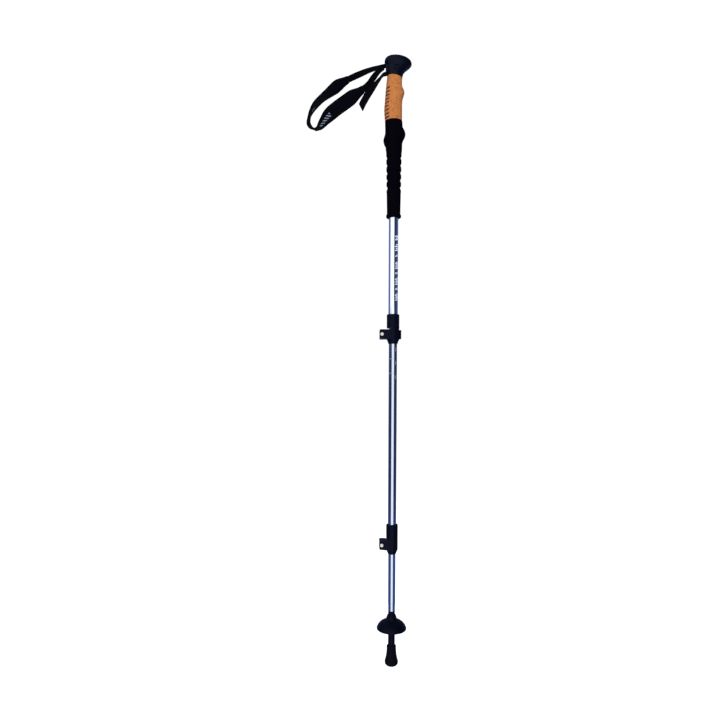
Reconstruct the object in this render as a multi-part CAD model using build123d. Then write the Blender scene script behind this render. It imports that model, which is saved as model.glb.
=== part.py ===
from build123d import *

import os
from math import copysign, cos, hypot, pi, radians, sin

# Three-section telescoping trekking pole with a cork and foam grip, a wrist strap, two lever
# locks, a screw-on basket and a push-on rubber foot. Millimetres. The origin is the centre of
# the rubber foot's flat underside, on the tubes' axis: +Z runs up to the grip, +X to the beak
# of the grip's head, and the strap and the lock ears point to -X.

# ---- Tubes -----------------------------------------------------------------------------------
upper_r = 9.0            # outer radii of the 18, 16 and 14 mm tube set
middle_r = 8.0
lower_r = 7.0
tube_wall = 0.7
bush_stem_length = 18.0
bush_head_length = 5.0
bush_wall = 1.6
bush_split = 1.6
swage_step = 0.4         # the lower tube is this much thinner at its lower end
swage_straight = 8.0
swage_length = 10.0
slide_gap = 0.05         # between a bush and the bore that it slides in
clamp_gap = 0.1          # between an open lock's bore and the tube in it
glue_gap = 0.05          # around what is glued or pressed on to a tube

# ---- Heights ---------------------------------------------------------------------------------
foot_height = 38.6
basket_rim_z = 70.9
ferrule_top_z = 104.0    # the lower tube starts here
lower_lock_z = 212.0     # underside of each lock
upper_lock_z = 610.7
foam_z = 850.6           # underside of the foam sleeve
cork_z = 1033.4          # underside of the cork
seam_z = cork_z + 83.5   # joint between cork and head, on the axis
head_z = seam_z + 2.6      # the head's sections, pin and slot and the strap are measured from here
upper_tube_top_z = seam_z + 1.1
lower_tube_length = 500.0
middle_tube_length = 528.0

# ---- Lever locks -----------------------------------------------------------------------------
lock_height = 56.3
lock_taper = 8.7         # height of the conical end
lock_taper_wall = 0.4
ear_height = 18.0
ear_wall = 4.2           # thickness of the back ear
slit = 2.4               # gap between the ears
relief_height = 2.9      # cut above the ears that frees the clamp ring
relief_x = -6.5          # the cut ends here in a round hole
relief_hole_r = 1.7
shoulder_above_relief = 2.1
screw_r = 2.0
screw_head_r = 3.1
screw_head_height = 4.2
screw_recess = 4.6       # seat of the screw head, behind the front ear's face
screw_end = 2.5          # the screw ends this far beyond the barrel pin's centre
fork_gap = 0.6           # between the lever's fork and the screw
barrel_r = 2.8
barrel_gap = 0.05
cam_r = 4.6
cam_throw = 0.3          # how far the cam's centre is off the barrel pin, along X and Y
cam_gap = 0.05
plate_thickness = 0.8
lever_height = 16.5
lever_gap = 0.45
lever_thickness = 3.35
locks = {
    "upper": {"z": upper_lock_z, "ring_r": 12.0, "reach": 25.6, "outer_r": upper_r, "inner_r": middle_r, "tip": -14.0},
    "lower": {"z": lower_lock_z, "ring_r": 11.15, "reach": 24.2, "outer_r": middle_r, "inner_r": lower_r, "tip": 46.0},
}

# ---- Grip ------------------------------------------------------------------------------------
webbing_width = 15.0
webbing_thickness = 1.6
core_r = 11.5            # the head's core, inside the cork
seam_tilt = 9.0          # degrees that the joint between head and cork falls towards the beak
strap_pin_x = 3.5
strap_pin_z = head_z + 11.1
strap_pin_r = 2.0
strap_pin_head_r = 3.9
strap_pin_head = 1.2
strap_pin_face_y = 14.9  # outer face of the pin's heads
slot_gap = 0.8             # between the slot's sides and the webbing's edges
slot_half_width = webbing_width / 2 + slot_gap
slot_low_z = head_z + 4.5
slot_high_z = head_z + 22.5
wedge_gap = 0.3

# ---- Strap -----------------------------------------------------------------------------------
pad_width = 32.0
pad_thickness = 4.0
strap_start_x = -19.3

# ---- Basket, ferrule, tip and foot -----------------------------------------------------------
ferrule_r = 6.5
basket_r = 28.3
basket_collar_top_z = 96.0
basket_gap = 0.08
basket_ribs = 6
thread_z = 88.0
thread_height = 3.0
thread_depth = 0.7
ferrule_stem_length = 30.0
taper_low_z = 19.0       # the ferrule's conical end
taper_high_z = 29.0
taper_end_r = 4.6
shank_r = 3.4
shank_socket = 6.0       # how far the shank goes into the ferrule above the taper
carbide_r = 2.1
carbide_low_z = 7.2
foot_gap = 0.1
washer_r = 5.5
washer_height = 1.0
washer_gap = 0.02
tread_count = 12         # scallops round the foot's lower edge
tread_at_r = 12.9
tread_r = 1.9
tread_height = 6.0
flute_width = 2.6        # slots down the basket's collar
flute_floor_r = 7.9

parts = {}


def cylinder(radius, low, high):
    """An upright cylinder on the pole's axis."""
    return Pos(0, 0, low) * Cylinder(radius, high - low, align=(Align.CENTER, Align.CENTER, Align.MIN))


def cross_cylinder(radius, x, z, y_low, y_high):
    """A cylinder along Y."""
    middle = (y_low + y_high) / 2
    return Pos(x, middle, z) * Rot(X=90) * Cylinder(radius, y_high - y_low)


def block(x_low, x_high, y_low, y_high, z_low, z_high):
    size = Box(x_high - x_low, y_high - y_low, z_high - z_low, align=(Align.MIN, Align.MIN, Align.MIN))
    return Pos(x_low, y_low, z_low) * size


def turned(points):
    """A solid of revolution about Z, from (radius, z) points."""
    outline = Plane.XZ * Polyline(*points, close=True)
    return revolve(make_face(outline), Axis.Z)


def plate(points, y_low, y_high):
    """A flat piece cut to an (x, z) outline, from y_low to y_high."""
    outline = make_face(Plane.XZ * Polyline(*points, close=True))
    return Pos(0, y_high, 0) * extrude(outline, y_high - y_low, dir=(0, -1, 0))


def tube(radius, low, high):
    return cylinder(radius, low, high) - cylinder(radius - tube_wall, low - 1, high + 1)


def oval(z, x_back, x_front, half_width, power=2.15, count=28):
    """A level face whose outline is a superellipse between x_back and x_front."""
    centre = (x_back + x_front) / 2
    half = (x_front - x_back) / 2
    points = []
    for step in range(count):
        angle = 2 * pi * step / count
        along = copysign(abs(cos(angle)) ** (2 / power), cos(angle))
        across = copysign(abs(sin(angle)) ** (2 / power), sin(angle))
        points.append((centre + half * along, half_width * across, z))
    return make_face(Spline(*points, periodic=True))


# ---- Tubes and their bushes ------------------------------------------------------------------
lock_ear_low = lock_taper + 0.4
lock_relief_low = lock_ear_low + ear_height + 0.4
lock_shoulder = lock_relief_low + relief_height + shoulder_above_relief


def make_tubes():
    upper_low = upper_lock_z + lock_shoulder
    middle_low = lower_lock_z + lock_shoulder
    parts["upper_tube"] = tube(upper_r, upper_low, upper_tube_top_z)
    parts["middle_tube"] = tube(middle_r, middle_low, middle_low + middle_tube_length)
    swage_r = lower_r - swage_step
    swage_low = ferrule_top_z + swage_straight
    swage_high = swage_low + swage_length
    top = ferrule_top_z + lower_tube_length
    parts["lower_tube"] = turned([
        (swage_r - tube_wall, ferrule_top_z), (swage_r, ferrule_top_z), (swage_r, swage_low),
        (lower_r, swage_high), (lower_r, top), (lower_r - tube_wall, top),
        (lower_r - tube_wall, swage_high), (swage_r - tube_wall, swage_low),
    ])
    parts["middle_tube_bush"] = bush(middle_r, upper_r, middle_low + middle_tube_length)
    parts["lower_tube_bush"] = bush(lower_r, middle_r, top)


def bush(inner_tube_r, outer_tube_r, z):
    """A split plastic bush: its stem is pressed into the inner tube and its head runs in the outer one."""
    head_r = outer_tube_r - tube_wall - slide_gap
    stem_r = inner_tube_r - tube_wall - glue_gap
    low = z - bush_stem_length
    high = z + bush_head_length
    body = cylinder(stem_r, low, z) + cylinder(head_r, z, high)
    body -= cylinder(stem_r - bush_wall, low - 1, high + 1)
    return body - block(0, head_r + 1, -bush_split / 2, bush_split / 2, low - 1, high + 1)


# ---- Lever locks -----------------------------------------------------------------------------
def lock_places(lock):
    """Where a lock's screw and barrel pin are, from the pole's axis and the lock's underside."""
    back_face = slit / 2 + ear_wall
    return {
        "x": -(lock["reach"] - 4.4),
        "y": back_face + plate_thickness + cam_gap + cam_r + cam_throw,
        "z": lock_ear_low + ear_height / 2,
        "front": -(lock["ring_r"] - 0.4),
        "back": back_face,
    }


def lock_body(lock):
    """A sleeve on the outer tube, and under it a split ring with two ears round the inner tube."""
    place = lock_places(lock)
    ring_r = lock["ring_r"]
    body = turned([
        (0, 0), (lock["inner_r"] + lock_taper_wall, 0), (ring_r, lock_taper), (ring_r, lock_height - 1),
        (ring_r - 1, lock_height), (0, lock_height),
    ])
    reach = lock["reach"]
    ear_high = lock_ear_low + ear_height
    ears = plate([
        (-reach, lock_ear_low + 1.2), (-reach, ear_high), (0, ear_high), (0, lock_ear_low - 0.6),
        (-ring_r, lock_ear_low - 0.2),
    ], place["front"], place["back"])
    ears = fillet(ears.edges().filter_by(Axis.Y).group_by(Axis.X)[0], 1.6)
    body += ears
    body -= cylinder(lock["inner_r"] + clamp_gap, -1, lock_shoulder)
    body -= cylinder(lock["outer_r"] + glue_gap, lock_shoulder, lock_height + 1)
    relief_high = lock_relief_low + relief_height
    body -= block(-reach - 1, 0, -slit / 2, slit / 2, -1, relief_high)
    body -= block(-reach - 1, relief_x, -ring_r - 1, ring_r + 1, lock_relief_low, relief_high)
    body -= cross_cylinder(relief_hole_r, relief_x, (lock_relief_low + relief_high) / 2, -ring_r - 1, ring_r + 1)
    seat = place["front"] + screw_recess
    notch_r = screw_head_r + 0.3
    notch = cross_cylinder(notch_r, place["x"], place["z"], place["front"] - 1, seat)
    notch += block(-reach - 1, place["x"], place["front"] - 1, seat, place["z"] - notch_r, place["z"] + notch_r)
    body -= notch
    body -= cross_cylinder(screw_r + 0.3, place["x"], place["z"], place["front"] - 1, place["back"] + 1)
    body -= block(-3.3, -2.6, place["front"] - 2, place["front"] + 0.5, lock_ear_low + 5, ear_high - 3)
    return body


def lock_lever(lock):
    """A curved lever round the back of the ring, with a forked cam on the barrel pin."""
    place = lock_places(lock)
    inner = lock["ring_r"] + lever_gap
    outer = inner + lever_thickness
    root = 128.0
    arc = CenterArc((0, 0), outer, lock["tip"], root - lock["tip"])
    back = CenterArc((0, 0), inner, lock["tip"], root - lock["tip"])
    arm = make_face([arc, Line(arc @ 1, back @ 1), back, Line(back @ 0, arc @ 0)])
    tip_angle = radians(lock["tip"])
    lip_at = outer - 1.5
    lip = Pos(lip_at * cos(tip_angle), lip_at * sin(tip_angle)) * Circle(1.5)
    cam_x = place["x"] + cam_throw
    cam_y = place["y"] - cam_throw
    inner_end = back @ 1
    outer_end = arc @ 1
    low = place["back"] + plate_thickness + cam_gap + 1.1
    neck = make_face(Polyline(
        (inner_end.X, inner_end.Y), (inner_end.X - 4.8, low), (place["x"] + 3.7, low), (cam_x, cam_y),
        (place["x"] + 1.4, place["y"] + 4.1), (outer_end.X - 4, outer_end.Y + 2), (outer_end.X, outer_end.Y),
        close=True,
    ))
    plan = arm + lip + neck + Pos(cam_x, cam_y) * Circle(cam_r)
    base = place["z"] - lever_height / 2
    body = Pos(0, 0, base) * extrude(plan, lever_height)
    pin_x = place["x"]
    body -= Pos(pin_x, place["y"], base - 1) * Cylinder(
        barrel_r + barrel_gap, lever_height + 2, align=(Align.CENTER, Align.CENTER, Align.MIN)
    )
    half_fork = screw_r + fork_gap
    fork_end = pin_x + hypot(screw_end, screw_r) + fork_gap / 2
    low_y = place["y"] - cam_r - 2
    body -= block(pin_x - 8, fork_end, low_y, place["y"] + 8, place["z"] - half_fork, place["z"] + half_fork)
    for rib in range(4):
        angle = lock["tip"] + 14 + 9 * rib
        cut = Rot(Z=angle) * Pos(outer, 0, place["z"]) * Box(0.8, 0.9, lever_height - 4)
        body -= cut
    return body


def make_lock(name):
    lock = locks[name]
    place = lock_places(lock)
    raise_it = Pos(0, 0, lock["z"])
    parts[f"{name}_lock_body"] = raise_it * lock_body(lock)
    parts[f"{name}_lock_lever"] = raise_it * lock_lever(lock)
    barrel_low = place["z"] - lever_height / 2 - 0.4
    barrel = Pos(place["x"], place["y"], barrel_low) * Cylinder(
        barrel_r, lever_height + 0.8, align=(Align.CENTER, Align.CENTER, Align.MIN)
    )
    reach_y = place["y"] + barrel_r + 1
    barrel -= cross_cylinder(screw_r + barrel_gap, place["x"], place["z"], place["y"] - barrel_r - 1, reach_y)
    parts[f"{name}_lock_barrel"] = raise_it * barrel
    seat = place["front"] + screw_recess
    head_low = seat - screw_head_height
    screw = cross_cylinder(screw_head_r, place["x"], place["z"], head_low, seat - 0.05)
    screw += cross_cylinder(screw_r, place["x"], place["z"], seat - 0.05, place["y"] + screw_end)
    screw -= block(place["x"] - 4, place["x"] + 4, head_low - 1, head_low + 1.2, place["z"] - 0.5, place["z"] + 0.5)
    parts[f"{name}_lock_screw"] = raise_it * screw
    plate = block(
        place["x"] - 4, place["x"] + 5.2, place["back"], place["back"] + plate_thickness,
        place["z"] - lever_height / 2 + 0.4, place["z"] + lever_height / 2 - 0.4,
    )
    plate -= cross_cylinder(screw_r + 0.3, place["x"], place["z"], place["back"] - 1, place["y"])
    parts[f"{name}_lock_wear_plate"] = raise_it * plate


# ---- Grip ------------------------------------------------------------------------------------
# Each row is a level section: height above head_z or the cork's underside, back, front, half width.
head_sections = [
    (-8, -13.8, 14.8, 14.1), (1.5, -13.6, 15.8, 14.3), (8.5, -14.0, 19.2, 14.8), (13.5, -14.9, 24.0, 15.5),
    (17.5, -15.7, 29.4, 16.3), (22, -17.1, 32.8, 17.1), (26.5, -18.6, 32.2, 17.4), (30.5, -18.5, 28.2, 16.8),
    (33.5, -16.9, 22.0, 14.8), (35.7, -13.6, 14.4, 11.2), (37, -8.0, 6.5, 6.2),
]
cork_sections = [
    (0, -17.5, 15.2, 15.5), (11.5, -18.4, 15.1, 15.6), (22.8, -19.0, 15.1, 15.6), (34, -18.1, 15.2, 15.5),
    (42, -17.6, 15.9, 15.4), (48, -17.1, 17.6, 15.4), (54.5, -16.7, 19.3, 15.3), (60.5, -16.2, 17.9, 15.1),
    (65, -15.8, 15.6, 15.0), (74, -15.0, 14.7, 14.6), (83, -14.0, 15.1, 14.1), (93, -13.5, 16.4, 14.1),
]
groove_count = 9
groove_pitch = 7.0
groove_first = 4.2       # above the cork's underside
groove_height = 1.5
groove_depth = 1.5


def seam_cutter(above):
    """A large block that ends at the tilted seam between head and cork."""
    size = 100
    half = size / 2 if above else -size / 2
    return Pos(0, 0, seam_z) * Rot(Y=seam_tilt) * Pos(0, 0, half) * Box(size, size, size)


def cork_back(height):
    """The cork's rearmost x at a height above its underside."""
    for low, high in zip(cork_sections, cork_sections[1:]):
        if low[0] <= height <= high[0]:
            share = (height - low[0]) / (high[0] - low[0])
            return low[1] + share * (high[1] - low[1])
    return cork_sections[-1][1]


def make_head():
    head = loft([oval(head_z + h, back, front, half) for h, back, front, half in head_sections])
    head -= seam_cutter(above=False)
    head += cylinder(core_r, cork_z + 2, seam_z + 2)
    head -= cylinder(upper_r + glue_gap, cork_z - 1, upper_tube_top_z)
    slot_end = strap_pin_x + strap_pin_r + webbing_thickness + 1.2
    head -= block(-30, slot_end, -slot_half_width, slot_half_width, slot_low_z, slot_high_z)
    head -= cross_cylinder(strap_pin_r + glue_gap, strap_pin_x, strap_pin_z, -30, 30)
    seat = strap_pin_face_y - strap_pin_head
    for y_low, y_high in ((-30, -seat), (seat, 30)):
        head -= cross_cylinder(strap_pin_head_r + 0.25, strap_pin_x, strap_pin_z, y_low, y_high)
    parts["grip_head"] = head
    pin = cross_cylinder(strap_pin_r, strap_pin_x, strap_pin_z, -strap_pin_face_y, strap_pin_face_y)
    for y_low, y_high in ((-strap_pin_face_y, -seat), (seat, strap_pin_face_y)):
        pin += cross_cylinder(strap_pin_head_r, strap_pin_x, strap_pin_z, y_low, y_high)
    for side in (-1, 1):
        near, far = sorted((side * (strap_pin_face_y - 0.7), side * (strap_pin_face_y + 1)))
        pin -= cross_cylinder(strap_pin_r, strap_pin_x, strap_pin_z, near, far)
    parts["strap_pin"] = pin


def make_cork():
    cork = loft([oval(cork_z + h, back, front, half) for h, back, front, half in cork_sections])
    cork -= seam_cutter(above=True)
    cork -= cylinder(core_r + glue_gap, cork_z + 2, seam_z + 10)
    cork -= cylinder(upper_r + glue_gap, cork_z - 1, cork_z + 2)
    for number in range(groove_count):
        height = groove_first + number * groove_pitch
        low = cork_z + height - groove_height / 2
        floor_r = -cork_back(height) - groove_depth
        cut = block(-30, -8, -20, 20, low, low + groove_height)
        cork -= cut - cylinder(floor_r, low - 1, low + groove_height + 1)
    parts["cork_grip"] = cork


# Level sections of the foam's bulges: height from the cork's underside, back, front, half width.
foam_lobe_sections = [
    (-53.4, -15.5, 15.5, 15.4), (-47.4, -16.4, 15.5, 15.5), (-41.4, -19.2, 15.9, 15.8), (-35.4, -20.2, 17.6, 16.2),
    (-30.4, -19.2, 20.2, 16.5), (-23.9, -17.3, 21.7, 16.5), (-17.4, -16.9, 19.8, 16.3), (-11.4, -17.0, 16.6, 16.1),
    (-5, -17.2, 16.0, 16.0), (0, -17.3, 15.8, 15.9),
]
foam_base_r = 15.45
foam_ring_first_z = cork_z - 69.5
foam_ring_pitch = 14.25
foam_ring_count = 5


def make_foam():
    lobes = loft([oval(cork_z + h, back, front, half) for h, back, front, half in foam_lobe_sections])
    base_z = cork_z + foam_lobe_sections[0][0]
    points = [(0, foam_z), (13.2, foam_z), (14.3, foam_z + 2.4), (14.3, foam_z + 4.4), (12.9, foam_z + 7.6)]
    points.append((12.8, foam_z + 20))
    last = foam_ring_first_z - foam_ring_pitch * (foam_ring_count - 1)
    points.append((13.5, last - 6))
    for ring in reversed(range(foam_ring_count)):
        z = foam_ring_first_z - ring * foam_ring_pitch
        ridge_r = 14.6 - 0.17 * ring
        groove_r = 13.3 - 0.3 * ring
        points += [(ridge_r - 0.5, z - 4.0), (groove_r, z), (ridge_r - 0.5, z + 4.0), (ridge_r, z + 7.1)]
    points += [(foam_base_r, base_z), (0, base_z)]
    foam = lobes + turned(points)
    parts["foam_sleeve"] = foam - cylinder(upper_r + glue_gap, foam_z - 1, cork_z + 1)


# ---- Strap -----------------------------------------------------------------------------------
# The strap is one closed loop of webbing whose far part is a wide pad. It lies in the XZ plane
# with its width across it, and is turned a little about its own length. Each point is x and the
# height above head_z.
loop_points = [
    (strap_start_x, 19.9), (-42.0, 12.1), (-65.0, 2.3), (-86.0, -6.9), (-106.0, -17.9), (-124.0, -30.5),
    (-141.0, -45.0), (-154.0, -60.0), (-160.6, -74.0), (-161.3, -87.5), (-157.6, -97.5), (-150.6, -100.9),
    (-142.5, -94.9), (-127.0, -76.5), (-111.0, -62.5), (-94.0, -49.9), (-79.0, -38.9), (-64.0, -27.9),
    (-50.0, -16.1), (-39.5, -1.7), (-30.0, 9.3), (strap_start_x, 16.8),
]
tail_points = [
    (strap_start_x - 1.2, 3.9), (-28.0, -5.1), (-38.0, -17.7), (-49.0, -32.5), (-57.0, -46.0), (-62.6, -57.5),
]
pad_from, pad_to = 0.19, 0.85   # where the pad starts and ends, as shares of the loop's length
pad_taper = 0.08                  # over this share of the loop it widens from the webbing
upper_side_twist = 22.0
far_turn_twist = 24.0
lower_side_twist = 30.0
tail_twist = 48.0


def smooth(value, low, high):
    share = min(max((value - low) / (high - low), 0), 1)
    return share * share * (3 - 2 * share)


def band(route, low, high, count, width_at, twist_at, thickness):
    """A flat band along a route in the XZ plane, lofted through rectangles set square to it."""
    faces = []
    for step in range(count + 1):
        share = low + (high - low) * step / count
        along = route % share
        turn = radians(twist_at(share))
        across = Vector(-sin(turn) * along.Z, cos(turn), sin(turn) * along.X)
        place = Plane(origin=route @ share, x_dir=across, z_dir=along)
        faces.append(place * Rectangle(width_at(share), thickness))
    return loft(faces, ruled=True)


def make_strap():
    loop = Spline(*[(x, 0, head_z + h) for x, h in loop_points])
    tail = Spline(*[(x, 0, head_z + h) for x, h in tail_points])

    def loop_twist(share):
        upper = upper_side_twist * smooth(share, 0.02, 0.15) * (1 - smooth(share, 0.22, 0.36))
        far_turn = far_turn_twist * smooth(share, 0.47, 0.525) * (1 - smooth(share, 0.525, 0.58))
        return upper + far_turn - lower_side_twist * smooth(share, 0.54, 0.66) * (1 - smooth(share, 0.93, 1))

    def pad_width_at(share):
        shape = smooth(share, pad_from, pad_from + pad_taper) * (1 - smooth(share, pad_to - pad_taper, pad_to))
        return webbing_width + (pad_width - webbing_width) * shape

    def webbing_width_at(share):
        return webbing_width

    parts["strap_upper_web"] = band(loop, 0, pad_from, 5, webbing_width_at, loop_twist, webbing_thickness)
    parts["strap_pad"] = band(loop, pad_from, pad_to, 44, pad_width_at, loop_twist, pad_thickness)
    parts["strap_lower_web"] = band(loop, pad_to, 1, 7, webbing_width_at, loop_twist, webbing_thickness)
    parts["strap_tail"] = band(
        tail, 0, 1, 9, webbing_width_at, lambda share: tail_twist * smooth(share, 0.05, 0.75), webbing_thickness
    )


def make_strap_anchor():
    """The webbing inside the head, round the pin, and the wedge that jams it in the slot."""
    turn_r = strap_pin_r + 0.1
    outer_r = turn_r + webbing_thickness
    mouth = -15.6
    half = webbing_width / 2
    high_out, high_in = slot_high_z - 0.5, slot_high_z - 0.5 - webbing_thickness
    low_out, low_in = slot_low_z + 0.3, slot_low_z + 0.3 + webbing_thickness
    loop = plate([
        (mouth, high_out), (mouth, high_in), (strap_pin_x, strap_pin_z + turn_r), (strap_pin_x + turn_r, strap_pin_z),
        (strap_pin_x, strap_pin_z - turn_r), (mouth, low_in), (mouth, low_out), (strap_pin_x, strap_pin_z - outer_r),
        (strap_pin_x + outer_r, strap_pin_z), (strap_pin_x, strap_pin_z + outer_r),
    ], -half, half)
    hole = cross_cylinder(strap_pin_r + 0.02, strap_pin_x, strap_pin_z, -half - 1, half + 1)
    parts["strap_anchor_web"] = loop - hole
    nose = strap_pin_x - turn_r - 1.2
    parts["strap_wedge"] = plate([
        (mouth - 0.6, low_in + wedge_gap), (mouth - 0.6, high_in - wedge_gap), (mouth + 1.2, high_in - wedge_gap - 0.3),
        (nose, strap_pin_z + 0.9), (nose, strap_pin_z - 0.9), (mouth + 1.2, low_in + wedge_gap + 0.3),
    ], -half, half)


# ---- Basket, ferrule, tip and foot -----------------------------------------------------------
def make_ferrule():
    stem_r = lower_r - swage_step - tube_wall - glue_gap
    stem_top = ferrule_top_z + ferrule_stem_length
    ridge_r = ferrule_r + thread_depth
    ferrule = turned([
        (0, taper_low_z), (taper_end_r, taper_low_z), (ferrule_r, taper_high_z), (ferrule_r, thread_z - thread_height / 2),
        (ridge_r, thread_z - thread_height / 4), (ridge_r, thread_z + thread_height / 4),
        (ferrule_r, thread_z + thread_height / 2), (ferrule_r, ferrule_top_z), (stem_r, ferrule_top_z),
        (stem_r, stem_top), (0, stem_top),
    ])
    shank_top = taper_high_z + shank_socket
    ferrule -= cylinder(shank_r, taper_low_z - 1, shank_top)
    parts["tip_ferrule"] = ferrule
    shank_low = carbide_low_z + 4
    shank = cylinder(shank_r, shank_low, shank_top)
    socket_top = shank_low + 4
    shank -= cylinder(carbide_r, shank_low - 1, socket_top)
    parts["tip_shank"] = shank
    carbide = cylinder(carbide_r, carbide_low_z, socket_top)
    cup = Pos(0, 0, carbide_low_z) * Cone(carbide_r * 0.8, 0.2, 1.2, align=(Align.CENTER, Align.CENTER, Align.MIN))
    parts["carbide_tip"] = carbide - cup


def make_foot():
    """A bell of rubber over the tip, with a scalloped tread and a steel washer inside."""
    top = foot_height
    outline = [
        (0, 0), (8.0, 0), (11.6, 2.6), (12.7, 5.6), (12.7, 8.8), (11.0, 15.0), (9.8, 21.0), (9.15, 27.0),
        (8.75, top - 4.5), (8.75, top - 1.0), (8.25, top), (0, top),
    ]
    foot = turned(outline)
    tip_low = carbide_low_z - 0.4
    bore = turned([
        (0, tip_low), (carbide_r + 0.2, tip_low), (carbide_r + 0.2, tip_low + 3.6), (shank_r + 0.2, tip_low + 3.6),
        (shank_r + 0.2, taper_low_z - 0.4), (taper_end_r + foot_gap, taper_low_z - 0.4),
        (ferrule_r + foot_gap, taper_high_z), (ferrule_r + foot_gap, top + 1),
        (0, top + 1),
    ])
    foot -= bore
    washer_low = tip_low - washer_height
    foot -= cylinder(washer_r + washer_gap, washer_low - washer_gap, tip_low)
    for number in range(tread_count):
        foot -= Rot(Z=number * 360 / tread_count) * Pos(tread_at_r, 0, 0) * Cylinder(tread_r, 2 * tread_height)
    parts["rubber_foot"] = foot
    parts["foot_washer"] = cylinder(washer_r, washer_low, tip_low)


def make_basket():
    hub_r = 10.4
    rim_z = basket_rim_z
    bore_r = ferrule_r + basket_gap
    top = basket_collar_top_z
    dome = turned([
        (bore_r, rim_z - 3.5), (hub_r - 1, rim_z - 3.5), (hub_r, rim_z + 8.5), (18.0, rim_z + 6.6), (24.0, rim_z + 2.0),
        (basket_r - 1.6, rim_z - 1.8), (basket_r, rim_z - 1.0), (basket_r, rim_z + 0.8), (25.4, rim_z + 6.6),
        (19.6, rim_z + 12.2), (14.0, rim_z + 14.8), (hub_r, rim_z + 15.6), (hub_r, rim_z + 19.0),
        (8.7, top - 2.0), (8.3, top), (bore_r, top),
    ])
    groove_r = bore_r + thread_depth
    dome -= turned([
        (0, thread_z - thread_height), (bore_r, thread_z - thread_height), (groove_r, thread_z - thread_height / 4),
        (groove_r, thread_z + thread_height / 4), (bore_r, thread_z + thread_height), (0, thread_z + thread_height),
    ])
    for number in range(basket_ribs):
        rib = block(hub_r - 1, 22.5, -0.8, 0.8, rim_z - 1.0, rim_z + 5.0)
        dome += Rot(Z=number * 360 / basket_ribs + 30) * rib
    for number in range(4):
        flute = block(flute_floor_r, hub_r + 2, -flute_width / 2, flute_width / 2, rim_z + 17.5, top + 1)
        dome -= Rot(Z=90 * number + 45) * flute
    parts["basket"] = dome


make_tubes()
make_lock("upper")
make_lock("lower")
make_head()
make_cork()
make_foam()
make_strap()
make_strap_anchor()
make_ferrule()
make_foot()
make_basket()

os.makedirs("parts", exist_ok=True)
for name, shape in parts.items():
    export_step(shape, f"parts/{name}.step")
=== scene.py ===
import math

import bmesh
import bpy
import numpy as np
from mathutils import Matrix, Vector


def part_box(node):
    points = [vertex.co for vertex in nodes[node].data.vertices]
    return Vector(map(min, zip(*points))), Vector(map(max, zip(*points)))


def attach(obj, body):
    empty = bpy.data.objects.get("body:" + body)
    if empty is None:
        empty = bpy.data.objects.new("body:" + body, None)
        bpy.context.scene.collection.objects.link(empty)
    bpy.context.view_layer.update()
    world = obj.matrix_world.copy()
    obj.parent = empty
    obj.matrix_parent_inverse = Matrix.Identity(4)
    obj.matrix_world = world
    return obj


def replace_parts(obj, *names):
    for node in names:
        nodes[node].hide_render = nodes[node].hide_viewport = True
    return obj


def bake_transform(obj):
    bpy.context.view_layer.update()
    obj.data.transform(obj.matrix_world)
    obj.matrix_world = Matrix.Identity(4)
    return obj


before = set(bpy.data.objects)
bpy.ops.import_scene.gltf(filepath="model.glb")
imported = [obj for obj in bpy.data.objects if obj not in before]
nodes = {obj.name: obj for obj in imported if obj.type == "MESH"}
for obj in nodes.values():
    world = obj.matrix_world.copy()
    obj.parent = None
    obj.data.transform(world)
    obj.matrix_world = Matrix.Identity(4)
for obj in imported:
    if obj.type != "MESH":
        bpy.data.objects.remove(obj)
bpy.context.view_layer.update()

# A three-section trekking pole: cork and foam grip, padded wrist strap, two lever locks, basket, rubber foot.
# Tables are in millimetres from the floor under the foot, +X is the side of the grip's beak.
mm = 0.001
print("frame loaded:", len(nodes), "nodes")


def ease(value, low, high):
    # 0 below low, 1 above high, 3t^2 - 2t^3 between them
    share = np.clip((np.asarray(value, float) - low) / (high - low), 0, 1)
    return share * share * (3 - 2 * share)


def within(value, low, high, outside=0.5, inside=0.3):
    # 1 between low and high, eased to 0 just outside them
    return ease(value, low - outside, low + inside) * ease(-value, -high - outside, -high + inside)


def bell(value, centre, width):
    # 1 at the centre, falling off as exp(-d^2)
    return np.exp(-((value - centre) / width) ** 2)


def stacked(*parts):
    return np.stack(np.broadcast_arrays(*parts), -1)


def throughRows(rows, at):
    # a cubic through the table's rows, each piece leaving a row at the slope of its neighbours;
    # the first column is the place, and the other columns are read at the places asked for
    rows = np.array(rows, float)
    x, y = rows[:, 0], rows[:, 1:]
    slope = np.gradient(y, x, axis=0)
    at = np.clip(at, x[0], x[-1])
    k = np.clip(np.searchsorted(x, at, side="right") - 1, 0, len(x) - 2)
    step = (x[k + 1] - x[k])[..., None]
    t = (at - x[k])[..., None] / step
    return (
        (2 * t**3 - 3 * t**2 + 1) * y[k] + (t**3 - 2 * t**2 + t) * step * slope[k]
        + (3 * t**2 - 2 * t**3) * y[k + 1] + (t**3 - t**2) * step * slope[k + 1]
    )


def evenAngles(columns):
    return np.linspace(0, 2 * np.pi, columns, endpoint=False)


def circle(radius, columns):
    return radius * np.stack([np.cos(evenAngles(columns)), np.sin(evenAngles(columns))], -1)


def ovalPoints(sections, angles, power=2.15):
    # superellipse |x/a|^p + |y/b|^p = 1 read by angle; sections gives back x, front x and half width
    back, front, half = np.moveaxis(sections, -1, 0)
    reach = (np.abs(np.cos(angles)) ** power + np.abs(np.sin(angles)) ** power) ** (-1 / power)
    x = (back + front) / 2 + (front - back) / 2 * reach * np.cos(angles)
    return x, half * reach * np.sin(angles)


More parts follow.
